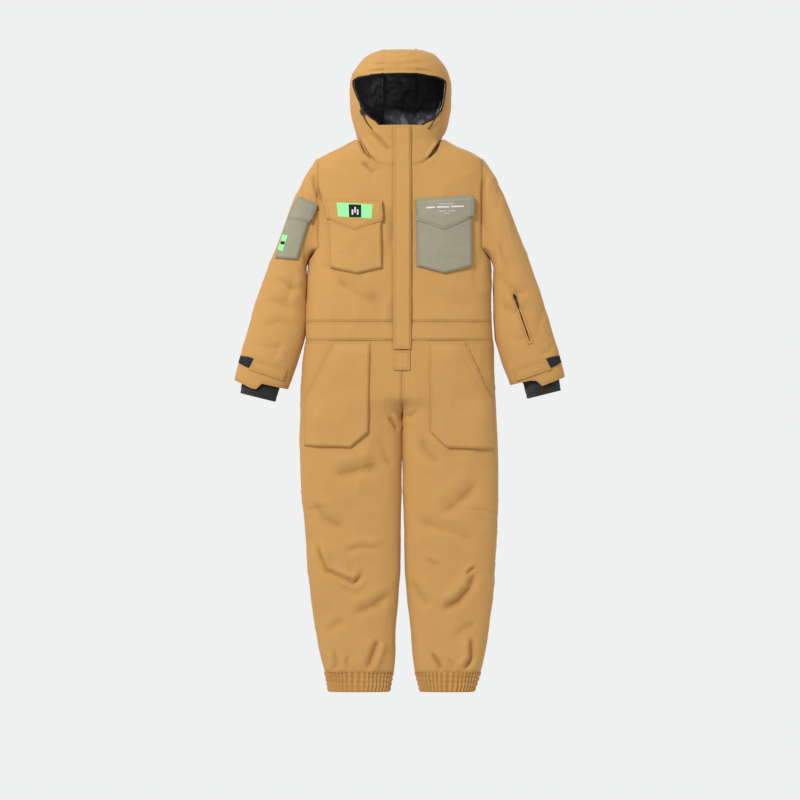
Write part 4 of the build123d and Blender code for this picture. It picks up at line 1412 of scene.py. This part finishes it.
# forearm zip pocket
LIP = 8.6
zip_top, zip_low = np.array([324.0, 1150.0]), np.array([374.0, 1004.0])
zip_dir = (zip_low - zip_top) / np.linalg.norm(zip_low - zip_top)
zip_side = np.array([-zip_dir[1], zip_dir[0]])
fore_tree = tree_of(forearms["left"])


def zip_strip(a, b, top=0.0, low=0.0):
    """Sides of a strip along the forearm zip between two offsets across it."""
    p, q = zip_top + zip_dir * top, zip_low - zip_dir * low
    bottom = [tuple(q + zip_side * a), tuple(q + zip_side * b)]
    high = [tuple(p + zip_side * a), tuple(p + zip_side * b)]
    return straight(bottom, high) if bottom[0][0] < bottom[1][0] else straight(bottom[::-1], high[::-1])


for name, sides, node in (("outer", zip_strip(1.6, LIP), ["sleeve_zip_welt"]), ("inner", zip_strip(-LIP, -1.6), ())):
    sewn("sleeve_zip_lip_" + name, sides, fore_tree, level_lift(2.2), SHELL, "forearm_left", node, "shell_fabric",
         1.6, 8, 2.4, (0.5, 1.2), seams="lr", guess=-45.0)
applied("sleeve_zip_teeth", zip_strip(-2.6, 2.6, 3, 3), fore_tree, 0.9, TAPE, "forearm_left", ["sleeve_zip_teeth"],
        "black_plastic", 0.8, 8, 2.0, (0.4, 1.0), 0.5, guess=-45.0)
for top, low, end in ((-2.5, 149.8, "top"), (149.8, -2.5, "low")):
    sewn("sleeve_zip_end_" + end, zip_strip(-LIP, LIP, top, low), fore_tree, level_lift(2.6), SHELL, "forearm_left",
         (), "shell_fabric", 1.2, 4, 2.4, (0.5, 1.2), seams="", guess=-45.0)

# hand pockets with slanted openings
HAND = {
    "right": ([(-274, 708), (-143, 703), (-91, 749)], [(-190, 1006), (-84, 1006)],
              [(-274, 708), (-269, 850), (-190, 1006)], [(-91, 749), (-84, 1006)]),
    "left": ([(88, 747), (134, 702), (271, 698)], [(83, 1006), (186, 1006)],
             [(88, 747), (83, 1006)], [(271, 698), (265, 832), (186, 1006)]),
}


def hand_lift(word):
    def lift(gaps, ground):
        inner, outer = (gaps["r"], gaps["l"]) if word == "right" else (gaps["l"], gaps["r"])
        mouth = step(820, 860, ground[..., 2])
        side = np.minimum(inner, gaps["b"])
        body = 9.0 * rise(side, 2.0) * (0.5 + 0.5 * bell(outer, 190) * rise(outer + 30, 30))
        body = body * (0.25 + 0.75 * step(0, 40, gaps["t"]))
        facing = 0.8 * step(17, 14, outer) * mouth
        return 1.6 + body * (0.35 + 0.65 * rise(outer, 26)) + facing + 1.2 * (1 - mouth) * rise(outer, 3) - 1.0 * (
            1 - mouth) * bell(outer, 3)

    return lift


for word, panel_index in (("right", 0), ("left", 2)):
    sewn("hand_pocket_" + word, HAND[word], tree_of(trousers[panel_index]), hand_lift(word), SHELL, "suit",
         ["hand_pocket_" + word], calm=10, spacing_mm=4.0)


# ---- centre front
def flat_strip(name, x0, x1, h0, h1, y, material, body, nodes, slot, thickness, wave=0.6, root=None, seams="lrbt",
               lean=None):
    """Strip of cloth in front of the body."""
    cols, rows = shares(x1 - x0, 3.4, (0.5, 1.2, 2.4, 4.2)), shares(h1 - h0, 5.0, (0.6, 1.4, 2.6, 4.4))
    x, h = np.meshgrid(x0 + (x1 - x0) * cols, h0 + (h1 - h0) * rows)
    yy = np.full(x.shape, float(y)) - wave * lattice(np.stack([x, 0 * x, h], -1), (60, 60, 85), 151)
    yy -= 0.35 * lattice(np.stack([x, 0 * x, h], -1), (16, 16, 24), 153)
    if root:
        yy += root * bell(x1 - x, 4.0)
    if lean is not None:
        yy += lean(x, h)
    grid = np.stack([x, yy, h], -1)
    gap = edges_of(grid, seams)
    n = normals(grid)
    d = -0.7 * bell(gap, 2.0) - 0.3 * bell(gap - 6, 1.2)
    cloth = Cloth(name)
    # painted shade along the strip's edges
    tone = 0.5 * bell(edges_of(grid, "lrbt"), 1.8)
    cloth.grid(grid + n * d[..., None], material, thickness, tone=tone, seam=gap)
    return place(cloth.build(), body, nodes, slot=slot)


def placket_lean(x, h):
    return -4.4 * step(1560, 1626, h) + 0.6 * bell(h - 1506, 8) + 0.8 * bell(h - 1036, 22)


flap = flat_strip("placket", -19, 32.5, 985, 1626, -96.6, SHELL, "placket", ["placket"], "shell_fabric", 2.4, root=3.6,
                  lean=placket_lean)
flat_strip("fly_patch", -17, 29, 925, 982, -91.8, SHELL, "suit", ["fly_patch"], "shell_fabric", 2.6, wave=0.3)
for k, h in enumerate((1010, 1160, 1310, 1460)):
    nodes = (["placket_hook_patches"], ["placket_loop_patches"]) if k == 0 else ((), ())
    for word, y, body, node, thickness in (("hooks", -89.6, "suit", nodes[0], 1.0),
                                           ("loops", -92.9, "placket", nodes[1], 0.9)):
        flat_strip("placket_%s_%d" % (word, k), -16, -3, h, h + 60, y, HOOKS, body, node, "hook_tape", thickness, 0.1,
                   seams="")


def box_at(cloth, centre, size, material):
    """Plain block, for the zip's teeth."""
    c, s = np.array(centre, float), np.array(size, float) / 2
    corners = np.array([[i, j, k] for i in (-1, 1) for j in (-1, 1) for k in (-1, 1)])
    faces = [(0, 1, 3, 2), (4, 6, 7, 5), (0, 4, 5, 1), (2, 3, 7, 6), (0, 2, 6, 4), (1, 5, 7, 3)]
    cloth.add(c + corners * s * [1, 1, 0.8], faces, [[(0, 0), (0.002, 0), (0.002, 0.002), (0, 0.002)]] * 6, material)


teeth = Cloth("zip_teeth")
for k in range(262):
    side = 1 if k % 2 else -1
    box_at(teeth, (CENTRE_X + side * 1.1, -85.7, 950 + 2.52 * k), (2.6, 3.0, 1.5), PLASTIC)
for side in (-1, 1):
    box_at(teeth, (CENTRE_X + side * 1.9, -84.6, 1281), (0.8, 1.2, 830), PLASTIC)
place(teeth.build(smooth_faces=False), "suit", ["zip_teeth"], slot="black_plastic")

# ---- drawcords
ROUTE = [(-116, -80, 1694), (-113, -89, 1676), (-99, -90, 1634), (-80, -88, 1614)]
for side, word in ((-1, "right"), (1, "left")):
    curve = bpy.data.curves.new("drawcord_" + word, "CURVE")
    curve.dimensions = "3D"
    spline = curve.splines.new("NURBS")
    spline.points.add(len(ROUTE) - 1)
    for point, (x, y, h) in zip(spline.points, ROUTE):
        point.co = (*row((-side * x, y, h)), 1)
    spline.order_u = 3
    spline.use_endpoint_u = True
    spline.resolution_u = 16
    curve.bevel_depth = 0.0015
    curve.bevel_resolution = 3
    curve.use_fill_caps = True
    curve.materials.append(CORD)
    cord = bpy.data.objects.new("drawcord_" + word, curve)
    bpy.context.scene.collection.objects.link(cord)
    place(cord, "hood", ["drawcord_" + word], slot="cord_black")
    tuple(row((-side * ROUTE[0][0], ROUTE[0][1], ROUTE[0][2])))

# ---- CAD nodes that stay
KEPT = {"zip_tapes": TAPE, "zip_slider": METAL, "sleeve_zip_slider": METAL, "cord_lock_right": PLASTIC,
        "cord_lock_left": PLASTIC, "hang_loop": LOOP}
for name, material in KEPT.items():
    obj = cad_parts[name]
    obj.data.materials.clear()
    obj.data.materials.append(material)

# ---- view and light
CAMERA_AWAY = 12.8
camera = bpy.data.objects.new("camera", bpy.data.cameras.new("camera"))
bpy.context.scene.collection.objects.link(camera)
camera.data.sensor_width = 36
camera.data.lens = 200
camera.data.clip_end = 60
camera.location = (0, -CAMERA_AWAY - LOOP_Y * MM, -0.7645)
camera.rotation_euler = (math.pi / 2, 0, 0)
bpy.context.scene.camera = camera


MIDDLE = Vector((0, -0.06, -0.75))


def area(name, place, size, power):
    light = bpy.data.objects.new(name, bpy.data.lights.new(name, "AREA"))
    bpy.context.scene.collection.objects.link(light)
    light.data.shape = "DISK"
    light.data.size = size
    light.data.energy = power
    light.location = place
    light.rotation_euler = (MIDDLE - Vector(place)).to_track_quat("-Z", "Y").to_euler()


area("key", (-3.0, -4.7, 2.6), 1.0, 290)
area("fill", (3.4, -4.8, -1.2), 2.6, 50)
area("back", (1.5, 4.8, 2.6), 2.6, 60)

FLOOR_RADIUS, FLOOR_Z = 1.1, -2.03
floor_mesh = bpy.data.meshes.new("floor")
rim = [2 * math.pi * k / 96 for k in range(96)]
floor_mesh.from_pydata([(FLOOR_RADIUS * math.cos(a), FLOOR_RADIUS * math.sin(a), FLOOR_Z) for a in rim], [],
                       [tuple(range(96))])
floor = bpy.data.objects.new("floor", floor_mesh)
bpy.context.scene.collection.objects.link(floor)
paper = bpy.data.materials.new("floor")
floor_mesh.materials.append(paper)
paper_net = Net(paper)
paper_net.set(paper_net.nodes["Principled BSDF"], Base_Color=(0.66, 0.665, 0.665, 1), Roughness=0.95)

world = bpy.data.worlds.new("world")
bpy.context.scene.world = world
sky = Net(world)
away = sky.split(sky.new("TexCoord").outputs["Generated"])[1]
sky.link(sky.ramp(away, -0.7, 0.1, 0.42, 1.0), sky.nodes["Background"].inputs["Strength"])
sky.set(sky.nodes["Background"], Color=(0.868, 0.875, 0.878, 1))
bpy.context.scene.view_settings.view_transform = "Standard"
